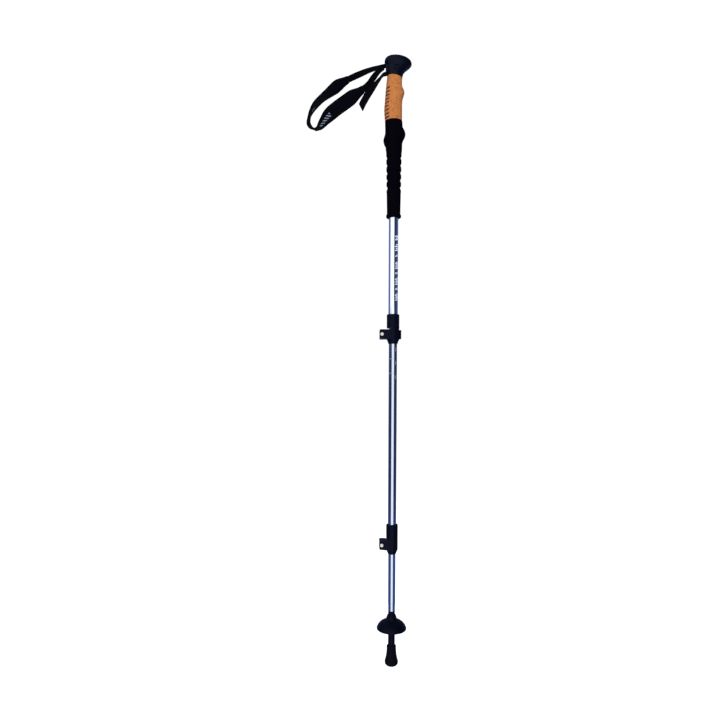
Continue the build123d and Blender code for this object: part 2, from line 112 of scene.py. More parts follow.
def roundedOutline(points, radius, steps=4):
    # every corner of a closed outline becomes a parabola between the two points a radius away from it,
    # with one more point on each straight side so that long faces keep their own flat shading
    points = np.array(points, float)

    def towards(shift, reach, most):  # a point on the way to a neighbour, never past most of the side
        side = np.roll(points, shift, 0) - points
        length = np.linalg.norm(side, axis=1, keepdims=True)
        return (points + side / length * np.minimum(reach, most * length))[:, None]

    start, end = towards(1, radius, 0.45), towards(-1, radius, 0.45)
    t = np.linspace(0, 1, steps)[None, :, None]
    arcs = (1 - t) ** 2 * start + 2 * t * (1 - t) * points[:, None] + t**2 * end
    held = [towards(1, 2 * radius, 0.48), arcs, towards(-1, 2 * radius, 0.48)]
    return np.concatenate(held, 1).reshape(-1, points.shape[1])


def turnedGrid(outline, columns, shaped=None):
    # (radius, height) outline turned about the pole's axis; shaped changes the radius by place
    radius, height = (np.repeat(outline[:, part, None], columns, 1) for part in (0, 1))
    angle = np.repeat(evenAngles(columns)[None], len(outline), 0)
    if shaped:
        radius = shaped(radius, height, angle)
    return np.stack([radius * np.cos(angle), radius * np.sin(angle), height], -1)


def placed(name, data):
    made = bpy.data.objects.new(name, data)
    bpy.context.scene.collection.objects.link(made)
    return made


def skin(name, grid, closed=False, uv=None, marks=None):
    # a skin over grids of points in mm: columns go round and close, rows go along. Open ends get a fan
    # to their middle point, closed rows join up instead. Several copies may share one mesh.
    copies = grid if grid.ndim == 4 else grid[None]
    count, rows, columns = copies.shape[:3]
    ring, row = np.arange(columns), np.arange(rows if closed else rows - 1)[:, None]
    nextRing, nextRow = (ring + 1) % columns, (row + 1) % rows
    here, ahead = row * columns, nextRow * columns
    quads = stacked(here + ring, here + nextRing, ahead + nextRing, ahead + ring).reshape(-1, 4)
    points, fans = copies.reshape(count, -1, 3), np.zeros((0, 3), int)
    if not closed:
        middle, top = rows * columns, (rows - 1) * columns
        points = np.concatenate([points, copies[:, :1].mean(2), copies[:, -1:].mean(2)], 1)
        topFan = stacked(top + ring, top + nextRing, middle + 1)
        fans = np.concatenate([stacked(nextRing, ring, middle), topFan])
    corner = points[:, quads] - points.mean(1)[:, None, None]
    turn = np.cross(corner[:, :, 2] - corner[:, :, 0], corner[:, :, 3] - corner[:, :, 1])
    inward = np.einsum("nfk,nfk->n", corner.mean(2), turn) < 0
    offset = (np.arange(count) * points.shape[1])[:, None, None]
    turned = inward[:, None, None]
    faces = [np.where(turned, part[None, :, ::-1], part[None]) + offset for part in (quads, fans)]
    loops = np.concatenate([part.ravel() for part in faces])
    sizes = np.repeat([4, 3], [part.shape[0] * part.shape[1] for part in faces])
    mesh = bpy.data.meshes.new(name)
    mesh.vertices.add(count * points.shape[1])
    mesh.vertices.foreach_set("co", (points * mm).astype(np.float32).ravel())
    mesh.loops.add(len(loops))
    mesh.loops.foreach_set("vertex_index", loops.astype(np.int32))
    mesh.polygons.add(len(sizes))
    mesh.polygons.foreach_set("loop_start", (np.cumsum(sizes) - sizes).astype(np.int32))
    mesh.update(calc_edges=True)
    if uv is not None:  # for open strips; one column more than the grid, so that the seam has both its ends
        faceUv = uv[stacked(row, row, nextRow, nextRow), stacked(ring, ring + 1, ring + 1, ring)]
        faceUv = faceUv.reshape(-1, 4, 2)[:, ::-1 if inward[0] else 1]
        fanUv = np.repeat(uv[[0, -1], :-1].reshape(-1, 1, 2), 3, 1)
        layer = mesh.uv_layers.new(name="UVMap")
        layer.data.foreach_set("uv", np.concatenate([faceUv.ravel(), fanUv.ravel()]).astype(np.float32))
    for key, values in (marks or {}).items():
        ends = [] if closed else [values[0].mean(), values[-1].mean()]
        attribute = mesh.attributes.new(key, "FLOAT", "POINT")
        attribute.data.foreach_set("value", np.concatenate([values.ravel(), ends]).astype(np.float32))
    return placed(name, mesh)


def dress(piece, material, creaseAngle=40):
    # one material, smooth faces with creases above an angle
    piece.data.materials.clear()
    piece.data.materials.append(material)
    piece.data.shade_smooth()
    piece.data.set_sharp_from_angle(angle=math.radians(creaseAngle))
    return piece


def mergedCopy(node, name, rounding):
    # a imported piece's mesh, its loose triangles joined and its flat faces made whole, then its edges rounded
    mesh = nodes[node].data.copy()
    mesh.name = name
    build = bmesh.new()
    build.from_mesh(mesh)
    bmesh.ops.remove_doubles(build, verts=build.verts, dist=0.002 * mm)
    bmesh.ops.dissolve_limit(build, angle_limit=math.radians(0.5), verts=build.verts, edges=build.edges)
    build.to_mesh(mesh)
    build.free()
    made = placed(name, mesh)
    bevel = made.modifiers.new("roundedEdges", "BEVEL")
    bevel.width, bevel.segments, bevel.limit_method = rounding * mm, 2, "ANGLE"
    bevel.angle_limit, bevel.use_clamp_overlap = math.radians(38), True
    return made


cameraView = {
    "place": (-0.0622, -1.083, 0.521), "lens": 28.46, "sensor": 36.0, "shiftUp": 0.0432, "rollDegrees": -0.3}
cameraData = bpy.data.cameras.new("studioCamera")
cameraData.lens, cameraData.sensor_width = cameraView["lens"], cameraView["sensor"]
cameraData.shift_y, cameraData.dof.use_dof = cameraView["shiftUp"], False
camera = placed("studioCamera", cameraData)
camera.location = cameraView["place"]
camera.rotation_euler = (math.pi / 2, math.radians(cameraView["rollDegrees"]), 0)
bpy.context.scene.camera = camera

fillBoxes = {
    "frontFill": {"place": (0.55, -1.15, 1.15), "aim": (0, 0, 0.95), "size": (0.7, 0.9), "power": 5.0},
    "backFill": {"place": (-0.80, 1.20, 1.25), "aim": (0, 0, 0.90), "size": (1.0, 1.0), "power": 5.5},
}


def addFill(name, box):
    # a soft box that lights matt surfaces and stays out of the reflections
    data = bpy.data.lights.new(name, "AREA")
    data.shape, data.energy = "RECTANGLE", box["power"]
    data.size, data.size_y = box["size"]
    lamp = placed(name, data)
    away = np.array(box["place"]) - box["aim"]
    away = away / np.linalg.norm(away)
    side = np.cross((0, 0, 1), away)
    side = side / np.linalg.norm(side)
    turn = np.eye(4)
    turn[:3] = np.stack([side, np.cross(away, side), away, box["place"]], -1)
    lamp.matrix_world = turn.T.tolist()
    lamp.visible_camera = lamp.visible_glossy = False


for fillName, fillBox in fillBoxes.items():
    addFill(fillName, fillBox)


def add(tree, kind, inputs=None, **settings):
    # a shader node with its settings; each input is a value to set, another node's output to link, or None
    made = tree.nodes.new("ShaderNode" + kind)
    for key, value in settings.items():
        setattr(made, key, value)
    for key, value in (inputs or {}).items():
        if isinstance(value, bpy.types.NodeSocket):
            tree.links.new(value, made.inputs[key])
        elif value is not None:
            made.inputs[key].default_value = value
    return made


def maths(operation, *values, clamp=False):
    tree = next(value.id_data for value in values if isinstance(value, bpy.types.NodeSocket))
    return add(tree, "Math", dict(enumerate(values)), operation=operation, use_clamp=clamp).outputs[0]


def plus(first, second, clamp=False):
    return maths("ADD", first, second, clamp=clamp)


def minus(first, *others):
    for other in others:
        first = maths("SUBTRACT", first, other)
    return first


def times(first, *others):
    for other in others:
        first = maths("MULTIPLY", first, other)
    return first


def mixed(share, first, second):
    tones = (tone if isinstance(tone, bpy.types.NodeSocket) else (*tone, 1) for tone in (first, second))
    return add(share.id_data, "Mix", {0: share, **dict(zip((6, 7), tones))}, data_type="RGBA").outputs[2]


def ranged(value, low, high, toLow=0.0, toHigh=1.0):
    limits = {"From Min": low, "From Max": high, "To Min": toLow, "To Max": toHigh}
    return add(value.id_data, "MapRange", {"Value": value, **limits}).outputs["Result"]


def noise(vector, scale, **more):
    return add(vector.id_data, "TexNoise", {"Vector": vector, "Scale": scale, **more}).outputs[0]


def cells(vector, scale, feature="F1"):
    return add(vector.id_data, "TexVoronoi", {"Vector": vector, "Scale": scale}, feature=feature).outputs


def channel(colour, index):
    return add(colour.id_data, "SeparateColor", {"Color": colour}).outputs[index]


def bumped(height, depth, strength, normal=None):
    inputs = {"Strength": strength, "Distance": depth, "Height": height, "Normal": normal}
    return add(height.id_data, "Bump", inputs).outputs[0]


def newGroup(name, inputs, outputs, build):
    # a node group that takes a Vector and numbers; build turns them into one socket for each output
    tree = bpy.data.node_groups.new(name, "ShaderNodeTree")
    tree.interface.new_socket("Vector", in_out="INPUT", socket_type="NodeSocketVector")
    for title, value in inputs.items():
        made = tree.interface.new_socket(title, in_out="INPUT", socket_type="NodeSocketFloat")
        made.default_value = value
    for title in outputs:
        kind = "NodeSocketVector" if title == "Normal" else "NodeSocketFloat"
        tree.interface.new_socket(title, in_out="OUTPUT", socket_type=kind)
    results = build(tree, tree.nodes.new("NodeGroupInput").outputs)
    out = tree.nodes.new("NodeGroupOutput").inputs
    for title, result in zip(outputs, results):
        tree.links.new(result, out[title])
    return tree


def use(group, vector, **inputs):
    made = vector.id_data.nodes.new("ShaderNodeGroup")
    made.node_tree = group
    vector.id_data.links.new(vector, made.inputs["Vector"])
    for key, value in inputs.items():
        made.inputs[key].default_value = value
    return made.outputs


def shaderInputs(material):
    return material.node_tree.nodes["Principled BSDF"].inputs


def newMaterial(name, **constants):
    material = bpy.data.materials.new(name)
    material.use_nodes = True
    for key, value in constants.items():
        shaderInputs(material)[key.replace("_", " ")].default_value = value
    return material, material.node_tree, add(material.node_tree, "TexCoord").outputs["Object"]


def wired(material, tone, roughness, normal):
    for title, output in (("Base Color", tone), ("Roughness", roughness), ("Normal", normal)):
        material.node_tree.links.new(output, shaderInputs(material)[title])
    return material


def grainNodes(tree, given):
    # fine moulded or cellular grain, with the mesh's own edges softened a little
    fine = noise(given["Vector"], given["Scale"], Detail=3.0, Roughness=0.6)
    edge = add(tree, "Bevel", {"Radius": given["Rounding"]}, samples=4)
    return bumped(fine, given["Depth"], 1.0, edge.outputs[0]), fine


def edgeWearNodes(tree, given):
    # where the rounded normal leaves the face's own normal there is an edge; noise breaks the line up
    edge = add(tree, "Bevel", {"Radius": given["Width"]}, samples=6).outputs[0]
    plain = add(tree, "NewGeometry").outputs["Normal"]
    dot = add(tree, "VectorMath", {0: edge, 1: plain}, operation="DOT_PRODUCT").outputs["Value"]
    broken = ranged(noise(given["Vector"], given["Breakup"], Detail=4.0), 0.42, 0.62)
    return (times(ranged(dot, 0.985, 0.86), broken, given["Amount"]),)


def handlingNodes(tree, given):
    # soft smears and a film of dust, as large cloudy patches with a finer cloud in them
    wide = noise(given["Vector"], given["Size"], Detail=6.0, Roughness=0.65, Distortion=0.6)
    return (times(ranged(wide, 0.42, 0.72), given["Amount"]),)


def drawnLineNodes(tree, given):
    # hair-fine lines drawn along the pole's length, by squeezing noise along Z
    squeeze = add(tree, "CombineXYZ", {"X": 1.0, "Y": 1.0, "Z": given["Stretch"]}).outputs[0]
    scaled = add(tree, "VectorMath", {0: given["Vector"], 1: squeeze}, operation="MULTIPLY").outputs[0]
    lines = noise(scaled, given["Scale"], Detail=2.0)
    return bumped(lines, given["Depth"], 1.0), lines


def weaveNodes(tree, given):
    # threads over and under: |sin| ribs along, shifted by half a pitch in every other column across
    split = add(tree, "SeparateXYZ", {"Vector": given["Vector"]}).outputs
    column = maths("DIVIDE", split["Y"], given["Across"])
    rib = plus(maths("DIVIDE", split["X"], given["Along"]), times(maths("FLOOR", column), 0.5))
    ribHeight, columnHeight = (maths("ABSOLUTE", maths("SINE", times(x, math.pi))) for x in (rib, column))
    height = times(ribHeight, maths("POWER", columnHeight, 0.5))
    return bumped(height, given["Depth"], 0.9), height


fineGrain = newGroup(
    "fineGrain", {"Scale": 2500.0, "Depth": 0.00003, "Rounding": 0.0002}, ("Normal", "Mask"), grainNodes)
edgeWear = newGroup("edgeWear", {"Width": 0.0006, "Breakup": 600.0, "Amount": 0.6}, ("Mask",), edgeWearNodes)
handlingMarks = newGroup("handlingMarks", {"Size": 60.0, "Amount": 0.5}, ("Mask",), handlingNodes)
drawnLines = newGroup(
    "drawnLines", {"Scale": 3500.0, "Stretch": 0.012, "Depth": 0.000004}, ("Normal", "Mask"), drawnLineNodes)
threadWeave = newGroup(
    "threadWeave", {"Along": 0.0011, "Across": 0.0009, "Depth": 0.0002}, ("Normal", "Height"), weaveNodes)


def mouldedFinish(name, look):
    # moulded plastic or rubber: fine grain, paler rubbed edges, smears that dull the gloss
    material, _, coords = newMaterial(
        name, IOR=1.5, Specular_IOR_Level=look["specular"], Specular_Tint=(0.55, 0.68, 1.0, 1.0))
    scale, depth = look["grainScale"], look["grainDepth"]
    grain = use(fineGrain, coords, Scale=scale, Depth=depth, Rounding=look["rounding"])
    worn = use(edgeWear, coords, Width=look["wearWidth"], Breakup=700.0, Amount=look["wear"])["Mask"]
    marks = use(handlingMarks, coords, Size=look["markSize"], Amount=look["marks"])["Mask"]
    tone = mixed(grain["Mask"], look["dark"], look["light"])
    tone = mixed(times(marks, look["dust"]), tone, look["dustTone"])
    rough = plus(plus(look["roughness"], times(marks, 0.18)), times(worn, 0.15), clamp=True)
    return wired(material, mixed(worn, tone, look["wornTone"]), rough, grain["Normal"])


mouldedLooks = {
    "headPlastic": {
        "dark": (0.002, 0.0024, 0.0075), "light": (0.0045, 0.0052, 0.014),
        "wornTone": (0.03, 0.033, 0.05), "dustTone": (0.05, 0.055, 0.07),
        "grainScale": 3200.0, "grainDepth": 0.000018, "rounding": 0.0004, "wearWidth": 0.0007, "wear": 0.35,
        "markSize": 70.0, "marks": 0.6, "dust": 0.03, "roughness": 0.33, "specular": 0.11},
    "lockPlastic": {
        "dark": (0.0018, 0.0022, 0.0078), "light": (0.0042, 0.005, 0.015),
        "wornTone": (0.05, 0.055, 0.075), "dustTone": (0.06, 0.065, 0.08),
        "grainScale": 4200.0, "grainDepth": 0.00002, "rounding": 0.0004, "wearWidth": 0.0006, "wear": 0.55,
        "markSize": 110.0, "marks": 0.7, "dust": 0.04, "roughness": 0.34, "specular": 0.08},
    "basketPlastic": {
        "dark": (0.0018, 0.002, 0.0068), "light": (0.0036, 0.0042, 0.012),
        "wornTone": (0.04, 0.044, 0.06), "dustTone": (0.08, 0.075, 0.07),
        "grainScale": 2600.0, "grainDepth": 0.00003, "rounding": 0.0004, "wearWidth": 0.0009, "wear": 0.6,
        "markSize": 90.0, "marks": 0.8, "dust": 0.03, "roughness": 0.38, "specular": 0.08},
    "footRubber": {
        "dark": (0.0025, 0.0025, 0.005), "light": (0.006, 0.006, 0.010),
        "wornTone": (0.035, 0.034, 0.036), "dustTone": (0.09, 0.08, 0.07),
        "grainScale": 1900.0, "grainDepth": 0.00005, "rounding": 0.0003, "wearWidth": 0.0008, "wear": 0.6,
        "markSize": 120.0, "marks": 0.9, "dust": 0.03, "roughness": 0.60, "specular": 0.06},
    "bushPlastic": {
        "dark": (0.5, 0.5, 0.47), "light": (0.62, 0.62, 0.6),
        "wornTone": (0.4, 0.4, 0.4), "dustTone": (0.3, 0.3, 0.3),
        "grainScale": 2500.0, "grainDepth": 0.00002, "rounding": 0.0003, "wearWidth": 0.0005, "wear": 0.3,
        "markSize": 90.0, "marks": 0.6, "dust": 0.15, "roughness": 0.42, "specular": 0.5},
}
finishes = {name: mouldedFinish(name, look) for name, look in mouldedLooks.items()}


def metalFinish(name, look):
    # drawn and anodised tube, or plated steel: lines along the length, faint smears
    material, _, coords = newMaterial(name, Metallic=1.0)
    lines = use(drawnLines, coords, Scale=look["lineScale"], Stretch=look["stretch"], Depth=look["lineDepth"])
    marks = use(handlingMarks, coords, Size=look["markSize"], Amount=look["marks"])["Mask"]
    worn = use(edgeWear, coords, Width=0.0004, Breakup=500.0, Amount=look["wear"])["Mask"]
    tone = mixed(worn, mixed(lines["Mask"], look["dark"], look["light"]), look["wornTone"])
    rough = plus(look["roughness"], times(lines["Mask"], look["lineRough"]))
    return wired(material, tone, plus(rough, times(marks, 0.10), clamp=True), lines["Normal"])


metalLooks = {
    "upperAnodised": {
        "dark": (0.72, 0.78, 0.90), "light": (0.80, 0.86, 0.97), "wornTone": (0.6, 0.62, 0.66),
        "lineScale": 3000.0, "stretch": 0.010, "lineDepth": 0.000002, "markSize": 30.0, "marks": 0.35,
        "wear": 0.5, "roughness": 0.08, "lineRough": 0.04},
    "lowerAnodised": {
        "dark": (0.50, 0.55, 0.68), "light": (0.60, 0.65, 0.78), "wornTone": (0.5, 0.52, 0.56),
        "lineScale": 3000.0, "stretch": 0.010, "lineDepth": 0.000002, "markSize": 34.0, "marks": 0.4,
        "wear": 0.5, "roughness": 0.08, "lineRough": 0.04},
    "platedSteel": {
        "dark": (0.5, 0.5, 0.5), "light": (0.66, 0.66, 0.65), "wornTone": (0.8, 0.8, 0.8),
        "lineScale": 2600.0, "stretch": 0.3, "lineDepth": 0.000006, "markSize": 200.0, "marks": 0.5,
        "wear": 0.4, "roughness": 0.22, "lineRough": 0.12},
    "groundCarbide": {
        "dark": (0.24, 0.24, 0.25), "light": (0.38, 0.38, 0.39), "wornTone": (0.55, 0.55, 0.55),
        "lineScale": 5000.0, "stretch": 1.0, "lineDepth": 0.00001, "markSize": 300.0, "marks": 0.6,
        "wear": 0.5, "roughness": 0.35, "lineRough": 0.15},
}
finishes.update({name: metalFinish(name, look) for name, look in metalLooks.items()})

corkLook = {
    "pale": (0.84, 0.345, 0.092), "warm": (0.64, 0.175, 0.046), "deep": (0.33, 0.10, 0.035),
    # the groove tone is painted shade, a near-black laid in the grooves' floors
    "speck": (0.075, 0.028, 0.014), "groove": (0.06, 0.018, 0.010),
    "granules": 420.0, "fineGranules": 1300.0, "specks": 300.0, "roughness": 0.78}


def corkFinish(look):
    # pressed granules: random tone per cell in two sizes, dark pores where a stretched cell's middle is near; the
    # grooves' floors are painted dark as shade
    material, tree, coords = newMaterial("naturalCork", Specular_IOR_Level=0.3)
    cellTone = channel(cells(coords, look["granules"])["Color"], 0)
    fineTone = channel(cells(coords, look["fineGranules"])["Color"], 1)
    cloud = ranged(noise(coords, 90.0, Detail=5.0), 0.3, 0.7)
    blend = plus(plus(times(cellTone, 0.45), times(fineTone, 0.2)), times(cloud, 0.35), clamp=True)
    seam = ranged(cells(coords, look["granules"], "DISTANCE_TO_EDGE")["Distance"], 0.07, 0.0)
    stretch = add(tree, "Mapping", {"Vector": coords, "Rotation": (0.4, 0.9, 0.2), "Scale": (1.0, 1.0, 0.45)})
    pore = cells(stretch.outputs[0], look["specks"])
    speck = times(ranged(pore["Distance"], 0.26, 0.14), ranged(channel(pore["Color"], 2), 0.70, 0.76))
    tone = mixed(blend, look["pale"], look["warm"])
    tone = mixed(times(seam, 0.45), tone, look["deep"])
    tone = mixed(times(speck, 0.8), tone, look["speck"])
    # painted shade: the grooves' floors are darkened by the groove mark
    tone = mixed(add(tree, "Attribute", attribute_name="groove").outputs["Fac"], tone, look["groove"])
    handled = use(handlingMarks, coords, Size=40.0, Amount=0.6)["Mask"]
    height = minus(times(blend, 0.4), times(seam, 0.35), speck)
    return wired(material, tone, minus(look["roughness"], times(handled, 0.2)), bumped(height, 0.00025, 0.8))


foamLook = {
    "base": (0.0014, 0.0014, 0.0036), "pore": (0.0004, 0.0004, 0.0012), "cells": 1100.0, "skinScale": 240.0}


def foamFinish(look):
    # closed-cell foam: tiny pits from cell middles over a leathery skin
    material, _, coords = newMaterial(
        "gripFoam", Specular_IOR_Level=0.025, Sheen_Weight=0.002, Sheen_Roughness=0.5)
    leather = noise(coords, look["skinScale"], Detail=8.0, Roughness=0.7)
    marks = use(handlingMarks, coords, Size=50.0, Amount=0.6)["Mask"]
    pit = ranged(cells(coords, look["cells"])["Distance"], 0.38, 0.1)
    relief = bumped(minus(times(leather, 0.8), times(pit, 0.35)), 0.0003, 0.8)
    return wired(material, mixed(pit, look["base"], look["pore"]), plus(0.72, times(marks, 0.2)), relief)


def clothFinish(name, look):
    # woven cloth on the piece's own UV map, which is in metres along and across the strip
    material, tree, coords = newMaterial(
        name, Specular_IOR_Level=0.06, Sheen_Weight=look["sheen"], Sheen_Roughness=0.45)
    place = add(tree, "UVMap", uv_map="UVMap").outputs["UV"]
    weave = use(threadWeave, place, Along=look["along"], Across=look["across"], Depth=look["depth"])
    marks = use(handlingMarks, coords, Size=80.0, Amount=0.6)["Mask"]
    tone = mixed(weave["Height"], look["valley"], look["thread"])
    tone = mixed(times(marks, 0.25), tone, look["faded"])
    if "windows" in look:
        trim = add(tree, "Attribute", attribute_name="binding").outputs["Fac"]
        tone = mixed(trim, tone, look["bindingTone"])
        tone = mixed(printedBars(tree, place, look["windows"]), tone, look["printTone"])
    return wired(material, tone, plus(look["roughness"], times(marks, 0.1)), weave["Normal"])


def printedBars(tree, place, windows):
    # slanted reflective bars: a sawtooth of the slanted distance along, kept to a window of the strip.
    # V below zero is the strip's other face, so each window picks its own face.
    split = add(tree, "SeparateXYZ", {"Vector": place}).outputs
    result = None
    for window in windows:
        fromStart, fromMiddle = minus(split["X"], window["start"]), minus(split["Y"], window["middle"])
        slanted = plus(fromStart, times(fromMiddle, window["slant"]))
        wave = maths("FRACT", maths("DIVIDE", slanted, window["pitch"]))
        bar = maths("LESS_THAN", wave, window["share"])
        inLength = maths("COMPARE", fromStart, window["length"] / 2, window["length"] / 2)
        inWidth = maths("COMPARE", fromMiddle, 0.0, window["width"] / 2)
        part = times(bar, inLength, inWidth)
        result = part if result is None else maths("MAXIMUM", result, part)
    return result


webbingLook = {
    "thread": (0.0040, 0.0045, 0.010), "valley": (0.0012, 0.0013, 0.003), "faded": (0.008, 0.009, 0.016),
    "along": 0.0011, "across": 0.0010, "depth": 0.00022, "sheen": 0.015, "roughness": 0.72}
padLook = {
    "thread": (0.0035, 0.0040, 0.0105), "valley": (0.0012, 0.0013, 0.004), "faded": (0.006, 0.007, 0.014),
    "along": 0.0016, "across": 0.0014, "depth": 0.00018, "sheen": 0.015, "roughness": 0.78,
    "bindingTone": (0.0015, 0.0015, 0.003), "printTone": (0.50, 0.55, 0.62), "windows": [
        {"start": 0.2185, "length": 0.030, "middle": -0.0190, "width": 0.010,
         "pitch": 0.0060, "share": 0.45, "slant": 0.8},
        {"start": 0.1580, "length": 0.010, "middle": 0.0200, "width": 0.0050,
         "pitch": 0.0040, "share": 0.55, "slant": -0.6},
    ]}


def plainFinish(name, tone, roughness, **constants):
    # print and sewing thread: one tone varied by fine noise
    material, _, coords = newMaterial(name, **constants)
    grain = use(fineGrain, coords, Scale=3000.0, Depth=0.00001, Rounding=0.0001)
    varied = mixed(grain["Mask"], tuple(0.8 * part for part in tone), tone)
    return wired(material, varied, plus(roughness, times(grain["Mask"], 0.1)), grain["Normal"])


finishes.update({
    "naturalCork": corkFinish(corkLook), "gripFoam": foamFinish(foamLook),
    "webbing": clothFinish("strapWebbing", webbingLook), "padCloth": clothFinish("padCloth", padLook),
    "sewingThread": plainFinish("sewingThread", (0.010, 0.011, 0.018), 0.6),
    # the white print also glows a little: painted light that keeps the dashes white on the tube's shaded side
    "whitePrintPaintedGlow": plainFinish(
        "whitePrintPaintedGlow", (0.92, 0.94, 0.97), 0.45, Emission_Color=(0.9, 0.95, 1.0, 1.0), Emission_Strength=0.35),
    "greyPrint": plainFinish("greyPrint", (0.55, 0.60, 0.70), 0.45),
})
print("finishes made:", len(finishes))


def makeFloor():
    # a flat pale disc of rings out from its middle; white to the camera and left out of the reflections
    rings = np.array([20.0, 600.0, 2000.0, 6000.0])
    flat = np.stack([*(np.outer(rings, part) for part in circle(1.0, 96).T), np.full((4, 96), -0.2)], -1)
    floor = skin("studioFloor", np.concatenate([flat, flat[::-1] + (0, 0, -20)]))
    material, tree, coords = newMaterial(
        "paleFloor", Roughness=0.9, Specular_IOR_Level=0.1, Emission_Color=(1, 1, 1, 1))
    speckle = noise(coords, 6.0, Detail=3.0)
    sockets = shaderInputs(material)
    tree.links.new(mixed(speckle, (0.80, 0.80, 0.80), (0.84, 0.84, 0.84)), sockets["Base Color"])
    tree.links.new(add(tree, "LightPath").outputs["Is Camera Ray"], sockets["Emission Strength"])
    floor.data.materials.append(material)
    floor.visible_glossy = False


studio = {  # directions are turns in radians from the camera's side, positive towards +X
    "front": (-0.60, -0.53, 0.47, 0.54), "frontTone": (1.38, 1.38, 1.38), "highFrom": (0.118, 0.134),
    "frontLeftHigh": (-1.40, -1.28), "frontRightHigh": (0.30, 0.22), "topFade": (0.60, 0.80),
    "lowFrom": (-0.18, -0.28), "lowTone": (0.055, 0.10, 0.25), "sideTone": (0.030, 0.042, 0.10),
    "behindFrom": (2.02, 2.30), "behindTone": (0.26, 0.32, 0.46), "leftTone": (0.13, 0.19, 0.40),
    "rightFrom": (1.42, 1.60), "rightTone": (0.09, 0.15, 0.30), "seenTone": (1.05, 1.05, 1.05),
}


def makeSurroundings():
    # even white to the camera. As light it is a white wall in front, set further left above the upper
    # lock's height, dim blue to both sides and paler blue behind; all by the turn and rise of the direction
    world = bpy.data.worlds.new("studio")
    world.use_nodes = True
    bpy.context.scene.world = world
    tree = world.node_tree
    direction = add(tree, "SeparateXYZ", {"Vector": add(tree, "TexCoord").outputs["Generated"]}).outputs
    turn, rise = maths("ARCTAN2", direction["X"], times(direction["Y"], -1.0)), direction["Z"]
    high = ranged(rise, *studio["highFrom"])
    tone = mixed(ranged(rise, *studio["lowFrom"]), studio["sideTone"], studio["lowTone"])
    tone = mixed(ranged(maths("ABSOLUTE", turn), *studio["behindFrom"]), tone, studio["behindTone"])
    tone = mixed(times(high, ranged(turn, *studio["frontLeftHigh"][::-1])), tone, studio["leftTone"])
    tone = mixed(times(high, ranged(turn, *studio["rightFrom"])), tone, studio["rightTone"])
    low, full, fade, end = studio["front"]
    leftHigh = times(high, ranged(turn, *studio["frontLeftHigh"]))
    rightHigh = maths("MAXIMUM", minus(1.0, high), ranged(turn, *studio["frontRightHigh"]))
    leftEdge = maths("MAXIMUM", ranged(turn, low, full), leftHigh)
    rightEdge = maths("MINIMUM", ranged(turn, end, fade), rightHigh)
    front = times(leftEdge, rightEdge, ranged(rise, *studio["topFade"], 1.0, 0.25))
    tone = mixed(front, tone, studio["frontTone"])
    seen = add(tree, "LightPath").outputs["Is Camera Ray"]
    tree.links.new(mixed(seen, tone, studio["seenTone"]), tree.nodes["Background"].inputs["Color"])


makeFloor()
makeSurroundings()
bpy.context.scene.view_settings.view_transform = "Standard"
print("camera, light and floor ready")

tubeWall = 0.7
tubes = {  # the lower one is drawn thinner at its end: by how much, how far up, and over what slope
    "upperTube": {
        "node": "upper_tube", "body": "upper_section", "finish": "upperAnodised", "slot": "upper_anodised",
        "radius": 9.0, "rounding": 0.2},
    "middleTube": {
        "node": "middle_tube", "body": "middle_section", "finish": "lowerAnodised", "slot": "lower_anodised",
        "radius": 8.0, "rounding": 0.2},
    "lowerTube": {
        "node": "lower_tube", "body": "lower_section", "finish": "lowerAnodised", "slot": "lower_anodised",
        "radius": 7.0, "rounding": 0.25, "thinner": 0.4, "straight": 8.0, "slope": 10.0},
}


def addTubes():
    # the outside line and its copy one wall further in, turned about the axis
    for name, tube in tubes.items():
        low, high = (corner.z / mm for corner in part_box(tube["node"]))
        outside = [(tube["radius"], low), (tube["radius"], high)]
        if "thinner" in tube:
            end, bend = tube["radius"] - tube["thinner"], low + tube["straight"]
            outside[:1] = [(end, low), (end, bend), (tube["radius"], bend + tube["slope"])]
        inside = [(radius - tubeWall, height) for radius, height in outside[::-1]]
        piece = skin(name, turnedGrid(roundedOutline(outside + inside, tube["rounding"]), 96), closed=True)
        dress(piece, finishes[tube["finish"]])
        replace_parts(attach(piece, tube["body"]), tube["node"])


addTubes()
print("tubes turned")

grip = {
    "corkZ": 1033.4, "seamZ": 1116.9, "headZ": 1119.5, "seamTilt": 9.0, "pinX": 3.5, "pinZ": 1130.6,
    "pinRecess": 4.15, "pinRecessDepth": 1.5, "slotHalfWidth": 8.3, "slotLow": 1124.0, "slotHigh": 1142.0,
    "slotDepth": 11.5, "slotFront": -5.0, "corkBore": 11.6, "headFollow": 9.0, "headLip": 0.028, "corkLip": 0.35,
}
headRows = [  # height above headZ, back, front, half width
    (-8, -13.8, 14.8, 14.1), (1.5, -13.6, 15.8, 14.3), (8.5, -14.0, 19.2, 14.8), (13.5, -14.9, 24.0, 15.5),
    (17.5, -15.7, 29.4, 16.3), (22, -17.1, 32.8, 17.1), (26.5, -18.6, 32.2, 17.4), (30.5, -18.5, 28.2, 16.8),
    (33.5, -16.9, 22.0, 14.8), (35.7, -13.6, 14.4, 11.2), (36.9, -9.0, 7.6, 7.0), (37.4, -3.4, 2.0, 2.2),
]
corkRows = [  # height above the cork's underside
    (0, -17.5, 15.2, 15.5), (11.5, -18.4, 15.1, 15.6), (22.8, -19.0, 15.1, 15.6), (34, -18.1, 15.2, 15.5),
    (42, -17.6, 15.9, 15.4), (48, -17.1, 17.6, 15.4), (54.5, -16.7, 19.3, 15.3), (60.5, -16.2, 17.9, 15.1),
    (65, -15.8, 15.6, 15.0), (74, -15.0, 14.7, 14.6), (83, -14.0, 15.1, 14.1), (93, -13.5, 16.4, 14.1),
]
corkGrooves = {
    "first": 4.2, "pitch": 7.0, "count": 9, "halfHeight": 0.95, "depth": 1.5, "fadeFrom": 46.0, "fadeTo": 62.0,
}


def seamHeight(x):
    # the joint between cork and head is a plane that falls towards the beak
    return -x * math.tan(math.radians(grip["seamTilt"]))


